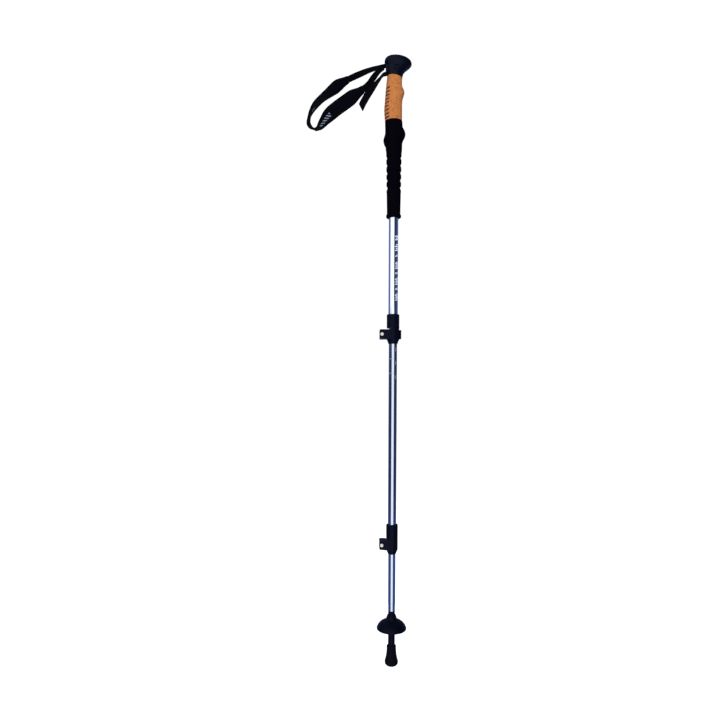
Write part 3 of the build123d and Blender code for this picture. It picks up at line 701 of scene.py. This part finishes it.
def addHead():
    # level ovals through the head's table, the lowest rows squeezed to follow the seam's slope;
    # the strap's slot and the pin's seats are pushed in where their masks are 1
    columns, rows = 300, 190
    angles = np.repeat(evenAngles(columns)[None], rows, 0)
    along = np.linspace(0, 1, rows)[:, None]
    table = np.array(headRows, float)
    girth = np.abs(np.diff(table[:, [0, 3]], axis=0)) @ np.ones(2) + np.abs(np.diff(table[:, 2])) * 0.35
    arc = np.concatenate([[0], np.cumsum(girth)])
    rise = grip["seamZ"] - grip["headZ"]
    seamArc = np.interp(rise, table[:, 0], arc)
    place = seamArc + (arc[-1] - seamArc) * along
    byArc = throughRows(np.column_stack([arc, table]), np.repeat(place, columns, 1))
    height = byArc[..., 0]
    x, y = ovalPoints(byArc[..., 1:], angles)
    squeeze = 1 - ease(height, rise, rise + grip["headFollow"])
    z = height + squeeze * (seamHeight(x) + 0.15) + grip["headZ"]
    lip = 1 - grip["headLip"] * bell(along, 0.0, 0.012)
    x, y = x * lip, y * lip
    inSlot = within(y, -grip["slotHalfWidth"], grip["slotHalfWidth"]) * (x < grip["slotFront"])
    x = x + grip["slotDepth"] * inSlot * within(z, grip["slotLow"], grip["slotHigh"])
    fromPin = np.hypot(x - grip["pinX"], z - grip["pinZ"])
    seat = (1 - ease(fromPin, grip["pinRecess"], grip["pinRecess"] + 0.7)) * (np.abs(y) > 9)
    y = y - np.sign(y) * grip["pinRecessDepth"] * seat
    grid = np.stack([x, y, z], -1)
    inner = grid[0] * (0.80, 0.80, 1) + (0, 0, 0.4)
    head = skin("gripHead", np.concatenate([inner[None], grid]))
    dress(head, finishes["headPlastic"], 55)
    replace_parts(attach(head, "upper_section"), "grip_head")


def addCork():
    # ovals through the cork's table, cut off along the seam, with level grooves at the back whose
    # depth is a flat-bottomed pulse in height and fades away round the sides; the grooves carry a mark for painted
    # shade
    columns, rows = 240, 300
    angles = np.repeat(evenAngles(columns)[None], rows, 0)
    along = np.repeat(np.linspace(0, 1, rows)[:, None], columns, 1)
    top = np.full((rows, columns), grip["seamZ"] - grip["corkZ"])
    for _ in range(3):  # the seam's height follows x, and x follows the height
        height = along * top
        x, y = ovalPoints(throughRows(corkRows, height), angles)
        top = grip["seamZ"] - grip["corkZ"] + seamHeight(x)
    step = height - corkGrooves["first"]
    number = np.clip(np.round(step / corkGrooves["pitch"]), 0, corkGrooves["count"] - 1)
    away = np.abs(step - number * corkGrooves["pitch"])
    fromBack = np.degrees(np.abs(np.angle(np.exp(1j * (angles - np.pi)))))
    atBack = 1 - ease(fromBack, corkGrooves["fadeFrom"], corkGrooves["fadeTo"])
    cut = (1 - ease(away, corkGrooves["halfHeight"] * 0.75, corkGrooves["halfHeight"] * 1.35)) * atBack
    edge = bell(along, 0, 0.006) + bell(along, 1, 0.006)
    shrink = (corkGrooves["depth"] * cut + grip["corkLip"] * edge) / np.hypot(x, y)
    x, y = x * (1 - shrink), y * (1 - shrink)
    bore = circle(grip["corkBore"], columns)
    boreTop = np.column_stack([bore, grip["seamZ"] + seamHeight(bore[:, 0])])
    boreLow = np.column_stack([bore, np.full(columns, grip["corkZ"])])
    grid = np.concatenate([np.stack([x, y, height + grip["corkZ"]], -1), boreTop[None], boreLow[None]])
    # painted shade for the grooves' floors, strongest where the cut is deep
    dark = np.concatenate([ease(cut, 0.10, 0.45), np.zeros((2, columns))])
    cork = skin("corkGrip", grid, closed=True, marks={"groove": dark})
    dress(cork, finishes["naturalCork"], 60)
    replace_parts(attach(cork, "upper_section"), "cork_grip")


foam = {
    "low": 850.6, "high": 1033.4, "bore": 9.06, "lipRadius": 14.3, "plainRadius": 12.85, "ringFirst": 963.9,
    "ringPitch": 14.25, "ringCount": 5, "ridge": 14.7, "ridgeStep": -0.17, "groove": 13.2, "grooveStep": -0.3,
    "grooveWidth": 3.0, "lobesFrom": 971.0, "lobesFull": 981.0,
}
foamRows = [  # height from the cork's underside, back, front, half width of the bulges above the rings
    (-60, -15.0, 15.0, 15.0), (-53.4, -15.5, 15.5, 15.4), (-47.4, -16.4, 15.5, 15.5), (-41.4, -19.2, 15.9, 15.8),
    (-35.4, -20.2, 17.6, 16.2), (-30.4, -19.2, 20.2, 16.5), (-23.9, -17.3, 21.7, 16.5), (-17.4, -16.9, 19.8, 16.3),
    (-11.4, -17.0, 16.6, 16.1), (-5, -17.2, 16.0, 16.0), (0, -17.3, 15.8, 15.9),
]


def foamRadius(height):
    # plain sleeve, then ridges with bell-shaped grooves between them, and a turned-over lip at the end
    number = np.clip(np.round((foam["ringFirst"] - height) / foam["ringPitch"]), 0, foam["ringCount"] - 1)
    grooveAt = foam["ringFirst"] - number * foam["ringPitch"]
    ridge = foam["ridge"] + foam["ridgeStep"] * (foam["ringFirst"] + 7 - height) / foam["ringPitch"]
    depth = ridge - (foam["groove"] + foam["grooveStep"] * number)
    ringed = ridge - depth * bell(height, grooveAt, foam["grooveWidth"])
    lowest = foam["ringFirst"] - (foam["ringCount"] - 0.5) * foam["ringPitch"]
    plain = foam["plainRadius"] + 0.6 * ease(height, foam["low"] + 8, lowest)
    radius = plain + (ringed - plain) * ease(height, lowest - 3.5, lowest + 1.0)
    lip = np.exp(-(np.abs(height - foam["low"] - 3.0) / 2.9) ** 4)
    return radius + (foam["lipRadius"] - plain) * lip


def addFoam():
    # round rows of that radius, passing into the ovals of the bulges, with a bore through
    columns, rows = 160, 420
    angles = np.repeat(evenAngles(columns)[None], rows, 0)
    height = np.repeat(np.linspace(foam["low"], foam["high"], rows)[:, None], columns, 1)
    radius = foamRadius(height)
    lobes = throughRows(foamRows, height - foam["high"])
    upper = ease(height, foam["lobesFrom"], foam["lobesFull"])[..., None]
    ringed = np.stack([-radius, radius, radius], -1)
    x, y = ovalPoints(ringed + (lobes - ringed) * upper, angles, 2.0 + 0.15 * upper[..., 0])
    edge = bell(height, foam["low"], 0.55) + 0.7 * bell(height, foam["high"], 0.6)
    shrink = 1 - 0.045 * edge
    grid = np.stack([x * shrink, y * shrink, height], -1)
    bore = circle(foam["bore"], columns)
    ends = [np.column_stack([bore, np.full(columns, z)]) for z in (foam["high"], foam["low"] + 0.5)]
    sleeve = skin("foamSleeve", np.concatenate([grid, ends]), closed=True)
    dress(sleeve, finishes["gripFoam"], 60)
    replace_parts(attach(sleeve, "upper_section"), "foam_sleeve")


addHead()
addCork()
addFoam()
print("grip made")

strap = {
    "width": 15.0, "thickness": 1.6, "padWidth": 32.0, "padThickness": 3.8, "padFrom": 0.19, "padTo": 0.85,
    "padTaper": 0.08, "padNeck": 16.6, "padEnd": 0.006, "upperTwist": 22.0, "turnTwist": 24.0, "lowerTwist": 30.0,
    "tailTwist": 48.0, "tailSlant": 2.6, "blendStart": -16.5, "blendEnd": -30.0, "blendZ": 1136.0,
    "stitchPitch": 3.1, "stitchLength": 2.1, "stitchRadius": 0.24, "stitchMargin": 6.0,
}
loopRoute = [  # x and height above headZ, from the head out along the top, round the far turn and back
    (-19.3, 19.9), (-42.0, 13.9), (-65.0, 4.8), (-86.0, -5.0), (-106.0, -17.0), (-124.0, -30.5), (-141.0, -45.0),
    (-154.0, -60.0), (-160.6, -74.0), (-161.3, -87.5), (-157.6, -97.5), (-150.6, -100.9), (-142.5, -94.9),
    (-127.0, -76.5), (-111.0, -62.5), (-94.0, -49.9), (-79.0, -38.9), (-64.0, -27.9), (-50.0, -16.1),
    (-39.5, -1.7), (-30.0, 9.3), (-19.3, 16.8),
]
tailRoute = [
    (-4.0, 5.8), (-13.0, 5.6), (-20.5, 3.9), (-28.0, -5.1), (-38.0, -17.7), (-49.0, -32.5), (-57.0, -46.0),
    (-63.4, -59.0)]


def lengthsAlong(points):
    return np.concatenate([[0], np.cumsum(np.linalg.norm(np.diff(points, axis=0), axis=1))])


def routeFrames(route, shares, twist, before=(), after=()):
    # even steps by length along a cubic through the route; gives middle points, the way along, the way
    # across turned by the twist, and the way up out of the strip's face. Extra points run on inside the head.
    knots = np.array([*before, *route, *after], float)
    table = np.column_stack([lengthsAlong(knots), knots])
    fine = np.linspace(0, table[-1, 0], 4000)
    run = lengthsAlong(throughRows(table, fine))
    start, end = np.interp(table[[len(before), len(before) + len(route) - 1], 0], fine, run)
    wanted = start + shares * (end - start)
    at = np.interp(wanted, run, fine)
    x, z = throughRows(table, at).T
    ahead = throughRows(table, at + 0.05) - throughRows(table, at - 0.05)
    aheadX, aheadZ = (ahead / np.linalg.norm(ahead, axis=1, keepdims=True)).T
    turn, level = np.radians(twist(shares)), np.zeros(len(shares))
    middle = np.stack([x, level, z + grip["headZ"]], -1)
    forward = np.stack([aheadX, level, aheadZ], -1)
    across = np.stack([-np.sin(turn) * aheadZ, np.cos(turn), np.sin(turn) * aheadX], -1)
    return middle, forward, across, np.cross(forward, across), wanted - start


def bandGrid(frames, width, thickness, faceSteps, edgePower=12, crown=None):
    # a closed strip: both faces from edge to edge, half thickness falling as (1 - |s|^p)^(1/2) to the edges;
    # the way round of its UV map is the distance across, past zero for one face and below it for the other
    middle, _, across, up, run = frames
    t = np.linspace(0, 1, faceSteps)
    s = 0.55 * -np.cos(np.pi * t) + 0.45 * (2 * t - 1)
    s = np.concatenate([s, s[::-1][1:-1]])
    face = np.concatenate([np.ones(faceSteps), -np.ones(faceSteps - 2)])
    half = (thickness / 2 * np.sqrt(np.clip(1 - np.abs(s) ** edgePower, 0, 1)))[None]
    halfWidth = np.broadcast_to(np.asarray(width, float), (len(middle),))[:, None] / 2
    side = s[None] * halfWidth
    lift = face[None] * (crown(s[None], half, run[:, None]) if crown else half)
    grid = middle[:, None] + across[:, None] * side[..., None] + up[:, None] * lift[..., None]
    v = np.concatenate([side, side[:, :1]], 1) + halfWidth + 4
    v = np.where(np.arange(2 * faceSteps - 1) < faceSteps, v, -v)
    return grid, stacked(run[:, None], v) * mm, s


def loopTwist(shares):
    # degrees: one way along the upper side, a flick at the far turn, the other way along the lower side
    upper = strap["upperTwist"] * ease(shares, 0.02, 0.15) * (1 - ease(shares, 0.22, 0.36))
    flick = strap["turnTwist"] * ease(shares, 0.47, 0.525) * (1 - ease(shares, 0.525, 0.58))
    lower = strap["lowerTwist"] * ease(shares, 0.54, 0.66) * (1 - ease(shares, 0.93, 1.0))
    return upper + flick - 5 * bell(shares, 0.445, 0.03) - lower


def tailTwist(shares):
    return strap["tailTwist"] * ease(shares, 0.2, 0.75)


def addWebbing():
    # three plain strips, baked where they lie and attached to no body
    upperShares = np.linspace(-0.03, strap["padFrom"] + 0.03, 150)
    lowerShares = np.linspace(strap["padTo"] - 0.03, 1.0, 150)
    pieces = {
        "strapUpperWeb": (
            routeFrames(loopRoute, upperShares, loopTwist, before=[(-4.0, 21.6), (-13.0, 21.4)]),
            ("strap_upper_web", "strap_anchor_web")),
        "strapLowerWeb": (
            routeFrames(loopRoute, lowerShares, loopTwist, after=[(-16.7, 18.4)]), ("strap_lower_web",)),
        "strapTail": (routeFrames(tailRoute, np.linspace(0, 1, 140), tailTwist), ("strap_tail",)),
    }
    for name, (frames, stoodFor) in pieces.items():
        grid, uv, s = bandGrid(frames, strap["width"], strap["thickness"], 22)
        if name == "strapTail":  # cut on a slant, so the last rows slide along by their place across
            slide = ease(np.linspace(0, 1, len(grid)), 0.85, 1.0)[:, None] * s[None] * strap["tailSlant"]
            grid = grid + frames[1][:, None] * slide[..., None]
        made = dress(skin(name, grid, uv=uv), finishes["webbing"], 60)
        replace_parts(made, *stoodFor)
        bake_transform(made)


def crowned(s):
    return 0.82 + 0.18 * (1 - s**2)


def addPad():
    # a strip that widens from the webbing's width and back, with rounded ends, a crowned middle, a bound
    # edge that stands 0.3 mm proud, a dip at its seam and small puckers along it
    shares = np.linspace(strap["padFrom"], strap["padTo"], 330)
    frames = routeFrames(loopRoute, shares, loopTwist)
    opening = ease(shares, strap["padFrom"], strap["padFrom"] + strap["padTaper"])
    closing = 1 - ease(shares, strap["padTo"] - strap["padTaper"], strap["padTo"])
    width = strap["padNeck"] + (strap["padWidth"] - strap["padNeck"]) * opening * closing
    fromEnd = np.minimum(shares - strap["padFrom"], strap["padTo"] - shares) / strap["padEnd"]
    ends = np.sqrt(np.clip(1 - (1 - fromEnd).clip(0, 1) ** 2, 0.05, 1))

    def shaped(s, half, run):
        bound = ease(np.abs(s), 0.80, 0.825) * 0.30 * (1 - ease(np.abs(s), 0.96, 1.0))
        seam = bell(np.abs(s), 0.775, 0.035) * (0.42 + 0.10 * np.cos(2 * np.pi * run / strap["stitchPitch"]))
        return (half * crowned(s) + bound - seam * (half > 0)) * ends[:, None]

    grid, uv, s = bandGrid(frames, width, strap["padThickness"], 64, 10, shaped)
    binding = np.broadcast_to(ease(np.abs(s), 0.79, 0.81)[None], grid.shape[:2])
    pad = skin("strapPad", grid, uv=uv, marks={"binding": binding})
    dress(pad, finishes["padCloth"], 60)
    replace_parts(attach(pad, "strap"), "strap_pad")
    return frames, width, ends


def addStitches(frames, width, ends):
    # capsules set end to end on both faces along the bound edges: a small circle carried along each stitch,
    # its two tips sunk into the cloth
    middle, forward, across, up, run = frames
    margin = strap["stitchMargin"]
    spots = np.arange(margin, run[-1] - run[0] - margin, strap["stitchPitch"]) + run[0]
    at, ahead, aside, out = (
        np.stack([np.interp(spots, run, part[:, axis]) for axis in range(3)], -1)
        for part in (middle, forward, across, up))
    wide, lines = np.interp(spots, run, width), []
    for face in (1, -1):
        for side in (0.86, -0.86):
            half = strap["padThickness"] / 2 * math.sqrt(1 - abs(side) ** 10) * crowned(side) + 0.30
            lift = half * np.interp(spots, run, ends) + 0.06
            centre = at + aside * (side * wide / 2)[:, None] + out * (face * lift)[:, None]
            lines.append((centre, ahead, aside, out, np.full(len(spots), face)))
    centre, ahead, aside, out, faces = (np.concatenate(part) for part in zip(*lines))
    t = np.linspace(-1, 1, 7)
    thick = strap["stitchRadius"] * np.sqrt(np.clip(1 - np.abs(t) ** 4, 0.02, 1))
    ring = thick[:, None, None] * circle(1.0, 6)
    sunk = (faces[:, None] * 0.22 * t**2)[:, :, None]
    grid = (
        centre[:, None, None] + ahead[:, None, None] * (t * strap["stitchLength"] / 2)[None, :, None, None]
        + aside[:, None, None] * ring[None, ..., :1]
        + out[:, None, None] * (ring[None, ..., 1] - sunk)[..., None]
    )
    stitches = skin("padStitches", grid)
    dress(stitches, finishes["sewingThread"], 80)
    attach(stitches, "strap")


addWebbing()
addStitches(*addPad())
print("strap sewn")

tubePrint = {
    "radius": 9.0, "lift": 0.012, "thickness": 0.05, "from": -72.0, "to": -20.0, "shorter": 10.0, "share": 0.52,
    "slant": 1.8, "bars": [  # lowest and highest z, and how many
        (692, 706, 6), (712, 716, 3), (722, 736, 6), (742, 746, 3), (752, 766, 6), (775, 779, 2), (786, 800, 4),
        (806, 816, 3)],
}
scaleMarks = {
    "radius": 8.0, "lift": 0.010, "thickness": 0.04, "ticks": [582.0, 554.8], "tickDegrees": (-150.0, -84.0),
    "tickHeight": 0.9, "numbers": [("130", 600.9), ("125", 575.3), ("120", 548.7)], "size": 5.4,
    "numberDegrees": -52.0,
}


def curvedBars(name, look, bars, steps):
    # each bar is a thin slab bent round the tube: its four corners carried through equal steps of angle
    low, high, start, end, slant = np.array(bars, float).T
    t = np.linspace(0, 1, steps)
    angle = np.radians(start[:, None] + (end - start)[:, None] * t)[..., None]
    inner = look["radius"] + look["lift"]
    outer = inner + look["thickness"]
    cornerR = np.array([inner, outer, outer, inner])
    cornerZ = np.stack([low, low, high, high], -1)[:, None] + (slant[:, None] * t)[..., None]
    return skin(name, stacked(cornerR * np.cos(angle), cornerR * np.sin(angle), cornerZ))


def addTubeGraphic():
    # plain slanted dashes in groups, narrow ones and wide ones by turns
    bars = []
    for low, high, count in tubePrint["bars"]:
        wide = (high - low) / count
        for index in range(count):
            short, bottom = tubePrint["shorter"] * (index % 2), low + index * wide
            start, end = tubePrint["from"] + short, tubePrint["to"] - short / 2
            bars.append((bottom, bottom + tubePrint["share"] * wide, start, end, tubePrint["slant"]))
    made = curvedBars("upperTubePrint", tubePrint, bars, 14)
    # the dashes take the white print with its painted glow
    dress(made, finishes["whitePrintPaintedGlow"], 30)
    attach(made, "upper_section")


def addNumber(text, z):
    # flat type with a fine net of faces, its width laid down the tube and its height bent round it
    curve = bpy.data.curves.new("number" + text, "FONT")
    curve.body, curve.size, curve.resolution_u = text, scaleMarks["size"], 3
    curve.extrude, curve.align_x, curve.align_y = scaleMarks["thickness"] / 2, "CENTER", "CENTER"
    flat = placed("flatNumber", curve)
    mesh = bpy.data.meshes.new_from_object(flat)
    bpy.data.objects.remove(flat)
    build = bmesh.new()
    build.from_mesh(mesh)
    bmesh.ops.remove_doubles(build, verts=build.verts, dist=0.001)
    bmesh.ops.triangulate(build, faces=build.faces)
    bmesh.ops.subdivide_edges(build, edges=build.edges, cuts=3, use_grid_fill=True)
    build.to_mesh(mesh)
    build.free()
    flatPoints = np.zeros(len(mesh.vertices) * 3)
    mesh.vertices.foreach_get("co", flatPoints)
    along, around, out = flatPoints.reshape(-1, 3).T
    radius = scaleMarks["radius"] + scaleMarks["lift"] + scaleMarks["thickness"] / 2 + out
    angle = math.radians(scaleMarks["numberDegrees"]) + around / scaleMarks["radius"]
    bent = np.stack([radius * np.cos(angle), radius * np.sin(angle), z - along], -1) * mm
    mesh.vertices.foreach_set("co", bent.ravel())
    mesh.flip_normals()
    mesh.update()
    number = dress(placed("lengthNumber" + text, mesh), finishes["greyPrint"], 30)
    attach(number, "middle_section")


def addScale():
    bars = [(z, z + scaleMarks["tickHeight"], *scaleMarks["tickDegrees"], 0.0) for z in scaleMarks["ticks"]]
    ticks = curvedBars("lengthTicks", scaleMarks, bars, 24)
    dress(ticks, finishes["greyPrint"], 30)
    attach(ticks, "middle_section")
    for text, z in scaleMarks["numbers"]:
        addNumber(text, z)


addTubeGraphic()
addScale()
print("marks printed")

basket = {
    "rimZ": 70.9, "bore": 6.58, "hub": 10.4, "collarTop": 96.0, "columns": 216, "ribs": 6, "ribHalf": 0.72,
    "ribOut": 22.5, "flutes": 4, "fluteHalf": 1.3, "fluteFloor": 7.9, "fluteFrom": 17.5,
    "dome": [(0, 28.3, 0.8), (6.5, 25.4, 6.6), (14.5, 19.6, 12.2), (20.7, 14.0, 14.8), (24.5, 10.4, 15.9)],
    "under": [(0, 10.4, 8.5), (7.8, 18.0, 6.6), (15.3, 24.0, 2.0), (20.0, 26.5, -1.9)],
    "rim": [(26.5, -1.9), (28.1, -1.3), (28.3, 0.8), (26.0, 0.0)],
    "ribRoof": [(9.8, 8.4), (18.0, 6.9), (22.5, 3.4)], "ribFoot": (-2.2, 2.6),
}


def addBasket():
    # closed wall outline turned about the axis; the dome runs as a cubic from rim to hub, and the
    # collar's flutes pull the radius in to a flat floor
    z, hub, bore = basket["rimZ"], basket["hub"], basket["bore"]
    collarTop = basket["collarTop"] - z
    dome = throughRows(basket["dome"], np.linspace(0, basket["dome"][-1][0], 40))
    under = throughRows(basket["under"], np.linspace(0, basket["under"][-1][0], 24))
    rim = roundedOutline(basket["rim"], 0.6)[6:17]
    collar = roundedOutline([
        (hub, 15.9), (hub, 18.5), (8.75, collarTop - 2), (8.3, collarTop), (bore, collarTop), (bore, -3.5),
        (9.4, -3.5), (hub, 8.5)], 0.5)[6:-6]
    outline = np.concatenate([under, rim, dome, collar]) + (0, z)

    def fluted(radius, height, angle):
        nearest = np.angle(np.exp(1j * basket["flutes"] * (angle - np.pi / 4))) / basket["flutes"]
        aside = np.abs(radius * np.sin(nearest))
        inFlute = 1 - ease(aside, basket["fluteHalf"] - 0.25, basket["fluteHalf"] + 0.25)
        inFlute = inFlute * ease(height, z + basket["fluteFrom"] - 0.2, z + basket["fluteFrom"] + 0.7)
        floor = np.minimum(radius, basket["fluteFloor"])
        return radius + (floor - radius) * inFlute * (radius > bore + 0.4)

    shell = skin("basketShell", turnedGrid(outline, basket["columns"], fluted), closed=True)
    dress(shell, finishes["basketPlastic"], 42)
    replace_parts(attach(shell, "basket"), "basket")


def addRibs():
    # upright blades under the dome, their roof against it and their foot rising outwards
    turn = (evenAngles(basket["ribs"]) + math.pi / basket["ribs"])[:, None, None]
    radius = np.linspace(basket["hub"] - 0.6, basket["ribOut"], 14)
    roof = throughRows(basket["ribRoof"], radius)[:, 0]
    low = np.interp(radius, [basket["ribRoof"][0][0], basket["ribOut"]], basket["ribFoot"])
    corners = np.array([(-1, 0), (1, 0), (1, 1), (-1, 1)], float)
    side, out = corners[:, 0] * basket["ribHalf"], radius[None, :, None]
    rise = basket["rimZ"] + low[:, None] + (roof - low)[:, None] * corners[:, 1]
    x, y = out * np.cos(turn) - side * np.sin(turn), out * np.sin(turn) + side * np.cos(turn)
    ribs = skin("basketRibs", stacked(x, y, rise[None]))
    dress(ribs, finishes["basketPlastic"], 30)
    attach(ribs, "basket")


foot = {
    "treads": 12, "treadDepth": 1.44, "columns": 240, "outline": [
        (0.4, 0), (8.0, 0), (11.6, 2.6), (12.7, 5.6), (12.7, 8.8), (11.0, 15.0), (9.8, 21.0), (9.15, 27.0),
        (8.8, 34.0), (9.0, 36.4), (8.75, 37.6), (8.25, 38.6), (6.6, 38.6), (6.6, 29.0), (4.7, 18.6), (3.6, 18.6),
        (3.6, 10.4), (2.3, 10.4), (2.3, 6.8), (0.4, 6.8)],
}


def addFoot():
    # bell outline turned about the axis, its lower edge scalloped by a raised cosine
    def scalloped(radius, height, angle):
        wave = (0.5 + 0.5 * np.cos(foot["treads"] * angle)) ** 3
        low = (1 - ease(height, 5.2, 7.4)) * (radius > 7.0)
        return radius - foot["treadDepth"] * wave * low

    outline = roundedOutline(foot["outline"], 1.1, 6)
    cup = skin("rubberFoot", turnedGrid(outline, foot["columns"], scalloped), closed=True)
    dress(cup, finishes["footRubber"], 50)
    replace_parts(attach(cup, "foot"), "rubber_foot")


ferrule = {
    "radius": 6.5, "ridge": 7.2, "ridgeZ": 88.0, "top": 104.0, "low": 19.0, "taperTop": 29.0, "tip": 4.6,
    "bore": 3.42, "boreTop": 35.0, "spigot": 5.85, "spigotTop": 134.0, "core": 0.4}


def addFerrule():
    # stepped rod turned about the axis, with the thread's ridge
    f = ferrule
    outline = roundedOutline([
        (f["bore"], f["low"]), (f["tip"], f["low"]), (f["radius"], f["taperTop"]),
        (f["radius"], f["ridgeZ"] - 1.5), (f["ridge"], f["ridgeZ"] - 0.75), (f["ridge"], f["ridgeZ"] + 0.75),
        (f["radius"], f["ridgeZ"] + 1.5), (f["radius"], f["top"]), (f["spigot"], f["top"]),
        (f["spigot"], f["spigotTop"]), (f["core"], f["spigotTop"]), (f["core"], f["boreTop"]),
        (f["bore"], f["boreTop"]),
    ], 0.3)
    rod = skin("tipFerrule", turnedGrid(outline, 96), closed=True)
    dress(rod, finishes["lockPlastic"], 35)
    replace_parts(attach(rod, "lower_section"), "tip_ferrule")


addBasket()
addRibs()
addFoot()
addFerrule()
print("basket, ferrule and foot turned")

roundedParts = {
    "upperLockBody": {"node": "upper_lock_body", "body": "upper_section", "rounding": 0.3},
    "lowerLockBody": {"node": "lower_lock_body", "body": "middle_section", "rounding": 0.3},
    "upperLockLever": {"node": "upper_lock_lever", "body": "upper_lever", "rounding": 0.35},
    "lowerLockLever": {"node": "lower_lock_lever", "body": "lower_lever", "rounding": 0.35},
}
keptParts = {
    "headPlastic": ("strap_pin", "strap_wedge"), "bushPlastic": ("middle_tube_bush", "lower_tube_bush"),
    "platedSteel": (
        "upper_lock_barrel", "upper_lock_screw", "upper_lock_wear_plate", "lower_lock_barrel", "lower_lock_screw",
        "lower_lock_wear_plate", "tip_shank", "foot_washer"),
    "groundCarbide": ("carbide_tip",),
}
for name, part in roundedParts.items():
    piece = mergedCopy(part["node"], name, part["rounding"])
    dress(piece, finishes["lockPlastic"], 38)
    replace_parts(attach(piece, part["body"]), part["node"])
for finish, names in keptParts.items():
    for name in names:
        nodes[name].data.materials.clear()
        nodes[name].data.materials.append(finishes[finish])
print("locks rounded, small parts finished")
